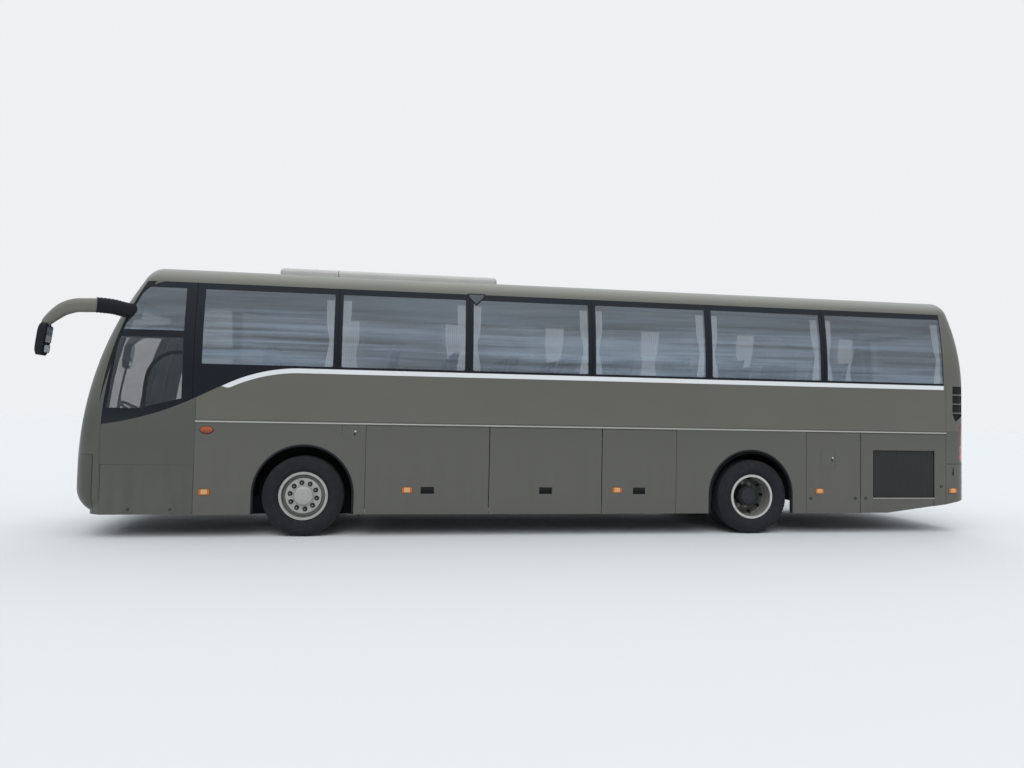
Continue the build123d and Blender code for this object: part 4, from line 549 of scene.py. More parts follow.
def paint_finish(colours):
    """Body paint, with dull black in the openings and behind the glass."""
    shade = Shader("coach_paint")
    paint = paint_layer(shade, colours)
    rise = ((shade.z - WAIST_Z) | 0).math("MINIMUM", TUMBLEHOME_RISE)
    width = (TUMBLEHOME_R**2 - rise * rise).math("SQRT") + (HALF - TUMBLEHOME_R)
    sunk = ((width - abs(shade.y)) > 0.003) * (shade.z > 1.3) * (shade.z < GLASS_TOP_Z)
    sunk = sunk * (shade.x > TAIL_SEAM) * (cab_edge(shade) > shade.x)
    screen = (1.12 - (shade.z - SCREEN_FOOT_Z) * SCREEN_LEAN - abs(shade.y)) > 0
    ahead = screen * shade.inside(shade.z, SCREEN_FOOT_Z, 2.99) * (abs(shade.x) > 4.9)
    dark = sunk | ahead | recesses(shade)
    grain = shade.noise(200, 2)
    slats = shade.inside(shade.x, *GRILLE_X) * shade.inside(shade.z, *GRILLE_Z)
    black = shade.mix(grain, (0.016, 0.017, 0.018), (0.007, 0.007, 0.008))
    hollow = shade.layer(
        Base_Color=shade.mix(slats, black, (0.045, 0.047, 0.046)), Roughness=0.6 + grain * 0.2, Specular_IOR_Level=0.2
    )
    return shade.end(shade.blend(dark, paint, hollow))


def plain_finish(name, colour, rough, metal=0.0, scale=60.0, vary=0.25, relief=0.0004, coat=0.0, gloss=0.5):
    """A finish with a mottled colour and roughness and a little relief."""
    shade = Shader(name)
    grain = shade.noise(scale, 3)
    patch = shade.noise(scale * 0.06, 3)
    colour = np.array(colour)
    worn = shade.ramp(patch, 0.3, 0.75) * vary
    bright = shade.ramp(grain, 0.5, 0.8) * vary * 0.5
    tone = shade.coats(colour, (worn, colour * 0.55), (bright, colour * 1.35))
    return shade.surface(
        Base_Color=tone, Metallic=metal, Roughness=rough + (grain - 0.5) * 0.15, Coat_Weight=coat,
        Specular_IOR_Level=gloss, Normal=shade.bump(grain, relief, 0.6),
    )


def cab_panes(shade):
    """1 in the driver's two panes, above and below the dark bar, and in the lower one alone."""
    rear = shade.x > CAB_SEAM + 0.172
    foot = ((CAB_SEAM + 0.668 - shade.x) * 0.261 | 0) + 1.577
    lower = rear * shade.ramp(shade.z - foot, 0, 0.002) * (shade.z < 2.458)
    lower = lower * (((shade.z - 1.57) * -0.134 + FRONT_AXLE + 2.345 - shade.x) > 0)
    upper = rear * shade.inside(shade.z, 2.545, WINDOW_TOP_Z)
    upper = upper * (((shade.z - 2.46) * -0.42 + FRONT_AXLE + 2.23 - shade.x) > 0)
    return lower + upper, lower


def glass_finish(colours):
    """Tinted panes that mirror the sky, with a painted sky reflection in pale streaks that is stronger lower down, in
    a black printed border, clear round the driver.
    """
    shade = Shader("coach_glass")
    left = shade.y > 0
    screen = shade.x > cab_edge(shade) + 0.015
    cab, lower = cab_panes(shade)
    pillars = sum(shade.inside(shade.x, x - PILLAR_WIDTH / 2, x + PILLAR_WIDTH / 2) for x in PILLARS[1:])
    band = shade.inside(shade.x, WINDOW_REAR, CAB_SEAM - 0.054) * (1 - pillars)
    band = band * shade.inside(shade.z, WINDOW_BOTTOM_Z, WINDOW_TOP_Z)
    doorway = shade.inside(shade.x, *MID_DOOR_X) * (1 - left)
    front_door = (shade.x > CAB_SEAM + 0.1) * (1 - left)
    clear = band | doorway * (shade.z < WAIST_Z) | cab * left | front_door
    rim = shade.ramp(abs(shade.y) + (shade.z - SCREEN_FOOT_Z) * SCREEN_LEAN, 1.0, 0.99)
    rim = rim * shade.inside(shade.z, 1.4, 2.9, 0.01)
    clear = clear * (1 - screen) + screen * rim | (shade.x < WINDOW_REAR - 0.2)
    see = lower * left | screen | front_door
    cloud = shade.noise(1.9, 5, 0.6, stretch=(0.2, 1, 2.6))
    veil = shade.noise(6, 4, 0.6, stretch=(0.06, 1, 3.4))
    # Streaks on the glass: they raise its roughness and opacity a little, and carry the painted sky reflection
    film = shade.ramp(cloud * 0.5 + veil * 0.5, 0.3, 0.72)
    # Painted reflection: the streaks blend the tint towards pale sky blue, more so lower down and less where the glass
    # is clear
    painted_reflection_height = shade.ramp(shade.z, 3.1, 2.35) * 0.55 + 0.3
    glass = np.array(colours.glass)
    tone = shade.mix(film * painted_reflection_height * (1 - see * 0.9), glass, (0.27, 0.34, 0.43))
    fine = shade.noise(2.2, 4, stretch=(1, 1, 3))
    normal = shade.bump(fine, 0.0004, 0.15)
    pane = shade.layer(
        Base_Color=tone, Roughness=0.02 + film * 0.05, IOR=2.3, Alpha=0.6 - see * 0.3 + film * 0.06, Normal=normal
    )
    border = shade.layer(
        Base_Color=(0.005, 0.007, 0.011), Roughness=0.08 + fine * 0.05, Specular_IOR_Level=0.35, Normal=normal
    )
    return shade.end(shade.blend(clear, border, pane))


def amber_finish(colours):
    """The side lamps' clear middle: ribs across it, a gloss face and a little depth."""
    shade = Shader("amber_lens")
    amber = np.array(colours.amber) * (0.85, 1.5, 4.0)
    pitch = 0.012
    ribs, rows = ((way * (2 * pi / pitch)).math("SINE") * 0.5 + 0.5 for way in (shade.x, shade.z))
    tone = shade.mix(ribs * 0.4, amber, amber * 0.6)
    return shade.surface(
        Base_Color=tone, Roughness=0.12, Coat_Weight=0.8, Coat_Roughness=0.03, Emission_Color=tone,
        Emission_Strength=0.06, Normal=shade.bump(ribs * rows, 0.002, 0.5),
    )


def marker_finish(colours):
    """The side markers' reflectors: honeycomb amber, and an oval of darker amber on black high up in front, with
    painted shade towards its bottom.
    """
    shade = Shader("marker_lens")
    amber = np.array(colours.amber)
    cells = shade.cells(shade.x, shade.z, 620)
    across = (shade.x - (FRONT_AXLE + 1.174)) / 0.079
    rise = (shade.z - 1.322) / 0.043
    oval = shade.ramp(across * across + rise * rise, 1.04, 0.96)
    high = shade.z > 1.1
    # Painted shade on the high oval: darker towards its bottom, paler towards its top
    shaded = shade.mix(shade.ramp(rise, -0.9, 0.6), amber * (0.16, 0.08, 0.1), amber * (0.5, 0.32, 0.4))
    tone = shade.mix(cells * 0.45, amber * 0.6, amber * 0.3)
    tone = shade.coats(tone, (high, shaded), (high * (1 - oval), (0.012, 0.012, 0.012)))
    lit = 1 - high * (1 - oval)
    return shade.surface(
        Base_Color=tone, Roughness=0.2, Coat_Weight=lit * 0.3, Coat_Roughness=0.04, Emission_Color=tone,
        Emission_Strength=0.04, Normal=shade.bump(cells, 0.0015, 0.5),
    )


def tail_lamp_finish(colours):
    """Tall tail lamps: red above, a clear cell for reversing and an amber one below, with dark bars between."""
    shade = Shader("tail_lens")
    red = np.array(colours.red)
    cells = shade.cells(shade.y, shade.z, 520)
    bars = sum(shade.inside(shade.z, z, z + 0.01) for z in (1.13, 1.25, 1.37, 1.49))
    tone = shade.coats(
        red, (cells * 0.4, red * 0.45), (shade.inside(shade.z, 1.14, 1.25), red * 1.3 + (0.05, 0.09, 0.08)),
        (shade.inside(shade.z, 1.0, 1.13), np.array(colours.amber) * (0.6, 0.5, 0.6)),
        (bars.math("MINIMUM", 1) * 0.85, (0.03, 0.01, 0.01)),
    )
    return shade.surface(
        Base_Color=tone, Roughness=0.14, Coat_Weight=0.5, Coat_Roughness=0.03, Normal=shade.bump(cells, 0.002, 0.5),
    )


def head_lamp_finish():
    """Head lamps: two round reflectors and a slim amber corner behind one clear gloss cover."""
    shade = Shader("head_lens")
    reach = abs(shade.y)
    rise = shade.z - 0.82
    rings = bowl = 0
    for y in (0.815, 0.99):
        across = reach - y
        radius = (across * across + rise * rise).math("SQRT")
        disc = shade.ramp(radius, 0.077, 0.074)
        turn = (radius * 420).math("SINE") * 0.5 + 0.5
        bulb = shade.ramp(radius, 0.024, 0.02)
        rings = disc * (0.45 + turn * 0.2 + bulb * 0.35) + rings
        bowl = disc + bowl
    tone = shade.mix(rings, (0.035, 0.037, 0.04), (0.9, 0.92, 0.94))
    tone = shade.mix(reach > 1.078, tone, (0.55, 0.2, 0.04))
    return shade.surface(
        Base_Color=tone, Metallic=bowl * 0.8, Roughness=0.14, Coat_Weight=1.0, Coat_Roughness=0.02,
        Normal=shade.bump(rings, 0.01, 0.5),
    )


def curtain_finish(colours):
    """Thin woven cloth: crossed threads in relief, a softer patchy tone, and a painted glow that stands in for the
    daylight shining through it.
    """
    shade = Shader("curtain_cloth")
    cloth = np.array(colours.curtain)
    pitch = 0.004
    weave = shade.cells(shade.x, shade.z, 2 * pi / pitch)
    tone = shade.coats(cloth, (weave * 0.35, cloth * 0.6), (shade.noise(8, 3) * 0.3, cloth * 1.2))
    # Painted light: the cloth glows with its own tone, standing in for the daylight that comes through it
    return shade.surface(
        Base_Color=tone, Roughness=0.85, Sheen_Weight=0.3, Alpha=0.95, Normal=shade.bump(weave, 0.0006, 0.6),
        Emission_Color=tone, Emission_Strength=0.75,
    )


def seat_finish(colours):
    """Seat plush: a fine pile, lengthwise channels darkened with painted shade and with stitching in them, and paler
    flecks.
    """
    shade = Shader("seat_plush")
    seat = np.array(colours.seat)
    pile = shade.noise(900, 2)
    fleck = shade.ramp(shade.noise(75, 2), 0.62, 0.7)
    worn = shade.noise(5, 3)
    channel = sum(shade.ramp(abs(abs(shade.y) - y), 0.01, 0.0) for y in (0.335, 0.555, 0.805, 1.025))
    stitch = channel * ((shade.x + shade.z) * 700).math("SINE")
    tone = shade.coats(
        seat, (pile * 0.5, seat * 0.55), (fleck * 0.35, seat * 2.2 + 0.02),
        # Painted shade darkens the sunk channels
        (shade.ramp(worn, 0.5, 0.8) * 0.2, seat * 1.5 + 0.01), (channel * 0.6, seat * 0.3),
        (shade.ramp(stitch, 0.5, 0.9) * 0.5, seat * 2.5 + 0.05),
    )
    return shade.surface(
        Base_Color=tone, Roughness=0.88, Sheen_Weight=0.4, Normal=shade.bump(pile * 0.15 - channel, 0.006, 0.7)
    )


def tyre_finish(colours):
    """Worn rubber: dull tread, dusty shoulders, and fine radial ribs in a band of the side wall."""
    shade = Shader("tyre_rubber")
    radius, angle, _ = shade.polar()
    dust = shade.noise(14, 4)
    grain = shade.noise(260, 2)
    ribs = (angle * 180).math("SINE") * shade.inside(radius, 0.452, 0.474, 0.003)
    rings = shade.inside(radius, 0.336, 0.339) + shade.inside(radius, 0.43, 0.433)
    rubber = np.array(colours.rubber)
    tone = shade.coats(
        rubber, (shade.ramp(dust, 0.4, 0.8) * 0.16, (0.05, 0.05, 0.05)),
        (shade.ramp(radius, 0.48, 0.507) * 0.25, (0.06, 0.058, 0.055)), (rings * 0.5, rubber * 0.4),
    )
    height = grain * 0.3 + ribs * 0.5 + rings
    return shade.surface(
        Base_Color=tone, Roughness=0.66 + grain * 0.2, Specular_IOR_Level=0.3, Normal=shade.bump(height, 0.0012, 0.7)
    )


def wheel_finish(colours):
    """Silver wheel paint: dull and darker in the well as painted shade, rusty brown round the nuts, dark in the rear
    dish and hub from dirt and painted shade, and paler on the rear lips as a painted highlight.
    """
    shade = Shader("wheel_paint")
    radius, _, front = shade.polar()
    grime = shade.noise(18, 4)
    speck = shade.noise(120, 3)
    wheel = np.array(colours.wheel)
    # Painted shade darkens the front wheel's well between flange and bolt face; the joint ring in it is a dark line
    well = shade.inside(radius, 0.226, 0.268, 0.006) * front
    joint = shade.inside(radius, 0.226, 0.236, 0.003) * front
    # The rear wheel's dish and hub are darkened for dirt and for painted shade
    dish = shade.ramp(radius, 0.268, 0.262) * (1 - front)
    hub = shade.ramp(radius, 0.143, 0.14) * (1 - front)
    # Painted highlight: the rear wheel's outer lips are paler than the paint
    lip = shade.ramp(radius, 0.272, 0.276) * (1 - front)
    tone = shade.coats(
        wheel, (shade.ramp(grime, 0.42, 0.8) * 0.3, wheel * (0.55, 0.52, 0.48)), (well * 0.15, wheel * 0.4),
        (joint * 0.7, (0.03, 0.03, 0.03)), (dish * (0.72 + grime * 0.2), (0.035, 0.033, 0.03)),
        (hub * 0.85, (0.022, 0.024, 0.026)), (lip * 0.7, wheel * 1.45),
        (shade.ramp(speck, 0.62, 0.75) * 0.3, (0.09, 0.06, 0.04)),
    )
    dull = dish | well * 0.5
    return shade.surface(
        Base_Color=tone, Metallic=0.6 - dull * 0.4, Roughness=0.34 + grime * 0.15 + dull * 0.25,
        Normal=shade.bump(grime + speck * 0.3, 0.0008, 0.4),
    )


def mirror_finish(colours):
    """The mirror arms: satin grey-brown on the tube, black plastic on the root and the head."""
    shade = Shader("mirror_shell")
    grain = shade.noise(350, 2)
    dust = shade.noise(12, 3)
    black = shade.ramp(shade.x, NOSE + 0.14, NOSE + 0.15) + shade.ramp(shade.x, FRONT_AXLE + 2.455, FRONT_AXLE + 2.45)
    arm = np.array(colours.paint) * 1.45
    tone = shade.coats(arm, (dust * 0.25, arm * 0.75), (black, (0.012, 0.012, 0.013)))
    return shade.surface(
        Base_Color=tone, Roughness=0.38 + black * 0.14, Metallic=(1 - black) * 0.2,
        Normal=shade.bump(grain, 0.0004, 0.4),
    )


def trim_finish(colours):
    """Side trim: a pale brushed rail at the waist, and on the hinge beads body colour darkened as painted shade."""
    shade = Shader("side_rail")
    brush = shade.noise(60, 3, stretch=(0.05, 1, 4))
    rail = shade.inside(shade.z, RAIL_Z, RAIL_Z + 0.017, 0.002)
    tone = shade.mix(brush * 0.35, (0.5, 0.49, 0.46), (0.32, 0.31, 0.29))
    # Off the rail, body colour darkened to three quarters as painted shade on the hinge beads
    tone = shade.mix(rail, np.array(colours.paint) * 0.75, tone)
    return shade.surface(
        Base_Color=tone, Metallic=rail * 0.6, Roughness=0.42 - rail * 0.06 + brush * 0.1,
        Normal=shade.bump(brush, 0.0003, 0.4),
    )


FINISHES = {}


def make_finishes(colours):
    """Make every finish once and keep it: fixed pieces' under their slot's name, the others' under a plain one."""
    FINISHES.update(
        body_paint=paint_finish(colours),
        tinted_glass=glass_finish(colours),
        stripe=plain_finish("stripe_film", colours.stripe, 0.35, scale=30, vary=0.1, relief=0.0001),
        amber_lens=marker_finish(colours),
        amber=amber_finish(colours),
        red_lens=tail_lamp_finish(colours),
        lamp_lens=head_lamp_finish(),
        rail_metal=trim_finish(colours),
        plastic=plain_finish("black_plastic", (0.009, 0.01, 0.012), 0.45, scale=300, gloss=0.3),
        rubber=plain_finish("seal_rubber", (0.008, 0.009, 0.011), 0.65, scale=160, gloss=0.25),
        lip=plain_finish("arch_rubber", (0.008, 0.009, 0.012), 0.55, scale=60, gloss=0.25),
        slate=plain_finish("slate_plastic", (0.075, 0.085, 0.095), 0.5, scale=120, gloss=0.3),
        arm=plain_finish("mirror_arm", np.array(colours.paint) * 1.25, 0.35, 0.15, 12, 0.3),
        seat_cloth=seat_finish(colours),
        curtain_cloth=curtain_finish(colours),
        grey_plastic=plain_finish("grey_plastic", (0.2, 0.2, 0.2), 0.5, scale=200),
        # The grille's ledge: body colour lightened as painted light on its top
        ledge=plain_finish("ledge_paint", np.array(colours.paint) * 2.6, 0.4, 0.2, 50),
        shell=plain_finish("seat_shell", (0.05, 0.052, 0.058), 0.5, scale=200),
        chassis_paint=plain_finish("chassis_paint", (0.012, 0.012, 0.013), 0.65, scale=40, vary=0.5, gloss=0.2),
        deck_panel=plain_finish("deck_sheet", (0.11, 0.11, 0.112), 0.5, 0.3, 50),
        engine_iron=plain_finish("engine_iron", (0.09, 0.1, 0.09), 0.6, 0.6, 35, 0.5),
        cooler=plain_finish("cooler_paint", colours.cooler, 0.4, 0.1, 45, 0.2, 0.0003, 0.2),
        wheel_steel=wheel_finish(colours),
        tyre=tyre_finish(colours),
        black_plastic=mirror_finish(colours),
        nut=plain_finish("nut_steel", (0.3, 0.28, 0.26), 0.42, 0.8, 120, 0.5),
        dark_nut=plain_finish("dark_nut", (0.01, 0.01, 0.011), 0.5, 0.0, 120, 0.4, gloss=0.25),
        cap=plain_finish("hub_cap", np.array(colours.wheel) * 1.05, 0.34, 0.6, 40, 0.25, 0.0005),
        # The rear hub caps are dark for grease and for painted shade
        dark_cap=plain_finish("greasy_cap", (0.028, 0.03, 0.033), 0.45, 0.4, 40, 0.5, 0.0008),
        bright=plain_finish("bright_metal", (0.72, 0.72, 0.72), 0.2, 1.0, 80, 0.1),
        mirror_glass=plain_finish("mirror_glass", (0.85, 0.87, 0.88), 0.03, 1.0, 10, 0.02, 0.0),
    )


class COACH_OT_finishes(bpy.types.Operator):
    """Give every fixed piece its finish"""

    bl_idname = "coach.finishes"
    bl_label = "Finishes"

    def execute(self, context):
        make_finishes(context.scene.coach_colours)
        own = {"wipers": "plastic", "roof_cooler": "cooler"}
        for entry in frame["record"]["subparts"]:
            finish = FINISHES[own.get(entry["node"], entry["material_slot"])]
            for place in frame["nodes"][entry["node"]].material_slots:
                place.material = finish
        return {"FINISHED"}


class COACH_OT_stripes(bpy.types.Operator):
    """Lay the pale stripe under the windows on both sides"""

    bl_idname = "coach.stripes"
    bl_label = "Stripes"

    def execute(self, context):
        sizes = context.scene.coach_sizes
        shell = Shell()
        path = sweep_line(FRONT_AXLE + sizes.stripe_front)
        # The film's height fades over its first few centimetres, so that its front end is cut at a slant
        run = (path[-1, 0] - path[:, 0]) / 0.06
        depth = sizes.stripe_height * np.clip(run, 0.0, 1.0)
        share, proud = np.array(((0, -0.001), (0, 0.001), (1, 0.001), (1, -0.001))).T
        for side in (LEFT, RIGHT):
            grid = across_path(path, -0.004 - depth[:, None] * share, side * (HALF + proud))
            shell.grid(grid, wrap_v=True, caps=True)
        shell.finish("side_stripes", "stripe", slot="body_paint")
        return {"FINISHED"}


# Half of a tyre's side wall, from the bead out to the shoulder: distance from its middle plane, radius
TYRE_WALL = np.array([
    (0.104, 0.287), (0.105, 0.306), (0.1105, 0.3135), (0.119, 0.3235), (0.1275, 0.334), (0.1298, 0.336),
    (0.1312, 0.3395), (0.1345, 0.348), (0.14, 0.362), (0.1445, 0.38), (0.147, 0.4), (0.1475, 0.415), (0.1462, 0.428),
    (0.1468, 0.4305), (0.1462, 0.434), (0.1432, 0.447), (0.1395, 0.459), (0.135, 0.47), (0.131, 0.478),
    (0.1275, 0.486), (0.123, 0.494), (0.117, 0.5), (0.108, 0.5035),
])
GROOVE_PLACES = (0.066, 0.024)


def tread_line(depth):
    """Half of the tread, outside in: a crowned line with two grooves, as (distance from the middle, radius)."""
    places = [0.092]
    sunk = [0]
    for place in GROOVE_PLACES:
        places += [place + 0.0055, place + 0.004, place - 0.004, place - 0.0055, place - 0.02]
        sunk += [0, 1, 1, 0, 0]
    places = np.array(places)
    return np.stack([places, TYRE_R - 0.0035 * (places / 0.108) ** 2 - depth * np.array(sunk)], axis=1)


def tyre(shell, centre, depth, steps=180):
    """A tyre: its half profile mirrored and turned, the grooves stepped from side to side, the shoulders notched."""
    half = np.concatenate([TYRE_WALL, tread_line(depth)])
    profile = np.concatenate([half, half[::-1] * (-1, 1)])
    turn = ring(steps)
    across, radius = profile[:, 0], profile[:, 1]
    zigzag = np.where(np.arange(steps) // 2 % 2 == 0, 0.002, -0.002)
    shoulder = (np.abs(across) > 0.1) & (radius > 0.483)
    notch = np.where(np.arange(steps) % 3 == 0, 0.006, 0.0)
    reach = radius[None] - notch[:, None] * shoulder[None]
    grid = np.empty((steps, len(profile), 3))
    grid[..., 0] = centre[0] + np.sin(turn)[:, None] * reach
    grid[..., 1] = centre[1] + across[None] + zigzag[:, None] * (np.abs(across) < 0.085)[None]
    grid[..., 2] = centre[2] + np.cos(turn)[:, None] * reach
    shell.grid(grid, wrap_u=True, wrap_v=True)


class COACH_OT_tyres(bpy.types.Operator):
    """Put treaded tyres on the wheels, twin ones behind"""

    bl_idname = "coach.tyres"
    bl_label = "Tyres"

    def execute(self, context):
        depth = context.scene.coach_sizes.groove_depth
        for side, hand in SIDES:
            for axle, end, places in ((FRONT_AXLE, "front", (TYRE_Y,)), (REAR_AXLE, "rear", (TYRE_Y, TWIN_Y))):
                shell = Shell()
                for y in places:
                    tyre(shell, (axle, side * y, AXLE_Z), depth)
                body = f"front_wheel_{hand}" if end == "front" else f"rear_wheels_{hand}"
                piece = shell.finish(f"{end}_tyre_tread_{hand}", "tyre", body, "tyre", sharp=35)
                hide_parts(f"{end}_tyre_{hand}")
        return {"FINISHED"}


# Profiles about a wheel's axle or a nut's own middle: radius, distance outboard of the face that they sit on
WASHER = ((0, -0.001), (0.029, -0.001), (0.031, 0.001), (0.031, 0.0045), (0.029, 0.006), (0, 0.006))
STUD = ((0, 0.015), (0.0105, 0.015), (0.0105, 0.031), (0.009, 0.033), (0, 0.033))
HUB_CAP = (
    (0, -0.004), (0.1285, -0.004), (0.1285, 0.003), (0.1245, 0.0055), (0.1215, 0.003), (0.119, 0.007),
    (0.113, 0.0135), (0.1, 0.0192), (0.084, 0.0228), (0.0785, 0.0234), (0.0765, 0.0218), (0.0735, 0.0238),
    (0.05, 0.0258), (0.03, 0.0264), (0.0265, 0.025), (0.022, 0.0266), (0, 0.0268),
)
VALVE = ((0, 0), (0.006, 0), (0.006, 0.05), (0.0085, 0.052), (0.0085, 0.068), (0.006, 0.071), (0, 0.071))


class COACH_OT_wheel_fittings(bpy.types.Operator):
    """Fit the nuts, the hub caps and the valves to the wheels"""

    bl_idname = "coach.wheel_fittings"
    bl_label = "Wheel fittings"

    def execute(self, context):
        nut_r = context.scene.coach_sizes.nut_radius
        nut = ((0, 0.005), (nut_r, 0.005), (nut_r, 0.02), (nut_r - 0.0025, 0.0235), (0, 0.0235))
        turn = ring(10) + radians(8)
        for side, hand in SIDES:
            for axle, face, cap, body, finishes in (
                (FRONT_AXLE, FRONT_BOLT_Y, FRONT_CAP_Y, f"front_wheel_{hand}", "dark_nut nut cap rubber"),
                (REAR_AXLE, REAR_BOLT_Y, REAR_CAP_Y, f"rear_wheels_{hand}", "nut nut dark_cap rubber"),
            ):
                shell = Shell()
                for angle in turn:
                    place = (axle + BOLT_CIRCLE_R * sin(angle), side * face, AXLE_Z + BOLT_CIRCLE_R * cos(angle))
                    turned(shell, WASHER, place, side, 18)
                    turned(shell, nut, place, side, 6)
                    turned(shell, STUD, place, side, 10, 1)
                turned(shell, HUB_CAP, (axle, side * cap, AXLE_Z), side, 64, 2)
                foot = face - 0.07 if axle == FRONT_AXLE else face + 0.01
                place = (axle - 0.262 * cos(radians(45)), side * foot, AXLE_Z + 0.262 * sin(radians(45)))
                turned(shell, VALVE, place, side, 10, 3)
                shell.finish(f"wheel_fittings_{body}", finishes, body, "wheel_steel", sharp=35)
        return {"FINISHED"}


class COACH_OT_arch_lips(bpy.types.Operator):
    """Run a rubber lip round each wheel arch"""

    bl_idname = "coach.arch_lips"
    bl_label = "Arch lips"

    def execute(self, context):
        width = context.scene.coach_sizes.lip_width
        away, proud = np.array([
            (0.003, -0.03), (0.004, 0.002), (0.001, 0.0072), (-0.006, 0.009), (-0.8 * width, 0.0075),
            (-width, 0.003), (-width - 0.002, -0.002),
        ]).T
        shell = Shell()
        for centre_x, radius in ((FRONT_AXLE, FRONT_ARCH_R), (REAR_ARCH_X, REAR_ARCH_R)):
            centre_z = ARCH_TOP_Z - radius
            leg = np.linspace(SKIRT_Z + 0.001, centre_z, 5)[:-1]
            bow = np.linspace(0, pi, 49)
            bow = np.stack([centre_x + radius * np.cos(bow), centre_z + radius * np.sin(bow)], axis=1)
            front = np.stack([np.full(4, centre_x + radius), leg], axis=1)
            rear = np.stack([np.full(4, centre_x - radius), leg[::-1]], axis=1)
            path = np.concatenate([front, bow, rear])
            for side in (LEFT, RIGHT):
                shell.grid(across_path(path, away, side * (HALF + proud)), wrap_v=True, caps=True)
        shell.finish("arch_lips", "lip", sharp=50)
        return {"FINISHED"}


# Side lamps: distance from the front axle, height, and the body that carries each one on the left and the right
SIDE_LAMPS = (
    (1.174, 1.322, "coach", "coach"),
    (1.179, 0.56, "coach", "coach"),
    (-1.297, 0.591, "luggage_door_left_1", "luggage_door_right_1"),
    (-4.09, 0.598, "luggage_door_left_3", None),
    (-7.035, 0.592, "locker_door_left", "locker_door_right"),
    (-9.126, 0.602, "coach", "coach"),
)


def low_lamp(shell, side, x, z):
    """A rectangular marker: a black seat, a reflector frame with ears, and a raised clear middle."""
    side_panel(shell, side, x, z, rounded(0.137, 0.078, 0.008), ((0, -0.004), (0, 0.002), (0.02, 0.003)))
    side_panel(shell, side, x, z, rounded(0.13, 0.071, 0.007), ((0, 0.0), (0, 0.005), (0.03, 0.0072)), 1)
    ridge = ((0, 0.005), (0.01, 0.0082), (0.06, 0.009), (0.4, 0.009))
    side_panel(shell, side, x, z + 0.003, rounded(0.074, 0.058, 0.009), ridge, 2)


def high_lamp(shell, side, x, z):
    """An oval marker: a black foot and a domed lens."""
    turn = ring(36)
    oval = np.stack([0.083 * np.cos(turn), 0.049 * np.sin(turn)], axis=1)
    side_panel(shell, side, x, z, oval, ((0, -0.004), (0, 0.002), (0.06, 0.0035)))
    dome = ((0.1, 0.003), (0.12, 0.0055), (0.2, 0.0075), (0.35, 0.0086), (0.6, 0.009))
    side_panel(shell, side, x, z + 0.002, oval, dome, 1)


class COACH_OT_side_lamps(bpy.types.Operator):
    """Fit the side markers, each on the panel or door that carries it"""

    bl_idname = "coach.side_lamps"
    bl_label = "Side markers"

    def execute(self, context):
        shells = {}
        for offset, z, left_body, right_body in SIDE_LAMPS:
            for side, body in ((LEFT, left_body), (RIGHT, right_body)):
                if body:
                    shell = shells.setdefault(body, Shell())
                    build = high_lamp if z > 1 else low_lamp
                    build(shell, side, FRONT_AXLE + offset, z)
        for body, shell in shells.items():
            piece = shell.finish(f"markers_{body}", "plastic amber_lens amber", body, "amber_lens", sharp=30)
            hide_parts("side_lamps")
        return {"FINISHED"}


# Round locks and plugs of the flaps: body, place in side view, and the share of a full lock's size
LOCKS = (
    ("locker_door", -3.739, 0.492, 1.0), ("locker_door", -4.417, 0.493, 1.0), ("engine_side_door", -4.583, 0.493, 1.0),
    ("engine_side_door", -5.775, 0.661, 1.0), ("cab_hatch", 5.22, 0.349, 0.75), ("cab_hatch", 4.737, 0.349, 0.75),
)


def round_lock(shell, side, x, z, radius):
    """A round lock: a dark disc turned about its middle, a small steel core, and a slot as a dark bar."""
    disc = [(0, 0.003), (0.62, 0.003), (0.66, 0.0045), (0.9, 0.0045), (1, 0.002), (1, -0.003), (0, -0.003)]
    core = [(0, 0.0038), (0.24, 0.0038), (0.28, 0.0034), (0.28, 0.002), (0, 0.002)]
    for tag, line in enumerate((disc, core)):
        turned(shell, np.array(line) * (radius, 1), (x, side * HALF, z), side, 24, tag)
    slot = rounded(radius * 0.75, radius * 0.2, radius * 0.09, 3)
    side_panel(shell, side, x, z, slot, ((0, 0.003), (0, 0.0047)))


class COACH_OT_locks(bpy.types.Operator):
    """Fit the flaps' locks and plugs and the small lids' catches"""

    bl_idname = "coach.locks"
    bl_label = "Locks"

    def execute(self, context):
        radius = context.scene.coach_sizes.lock_radius
        shells = {}
        for kind, x, z, share in LOCKS:
            for side, hand in SIDES:
                if kind == "cab_hatch" and side == RIGHT:
                    continue
                body = kind if kind == "cab_hatch" else f"{kind}_{hand}"
                round_lock(shells.setdefault(body, Shell()), side, x, z, radius * share)
        for body, x, z in (("coach", 2.536, 1.318), ("locker_door_left", -4.068, 1.045)):
            shell = shells.setdefault(body, Shell())
            plate = rounded(0.026, 0.022, 0.006)
            catch = rounded(0.017, 0.036, 0.006)
            side_panel(shell, LEFT, x, z + 0.014, plate, ((0, -0.001), (0, 0.004), (0.2, 0.0065)), 1)
            side_panel(shell, LEFT, x + 0.008, z - 0.018, catch, ((0, -0.001), (0, 0.003), (0.2, 0.0045)))
        for body, shell in shells.items():
            shell.finish(f"locks_{body}", "plastic bright", body, sharp=30)
        return {"FINISHED"}


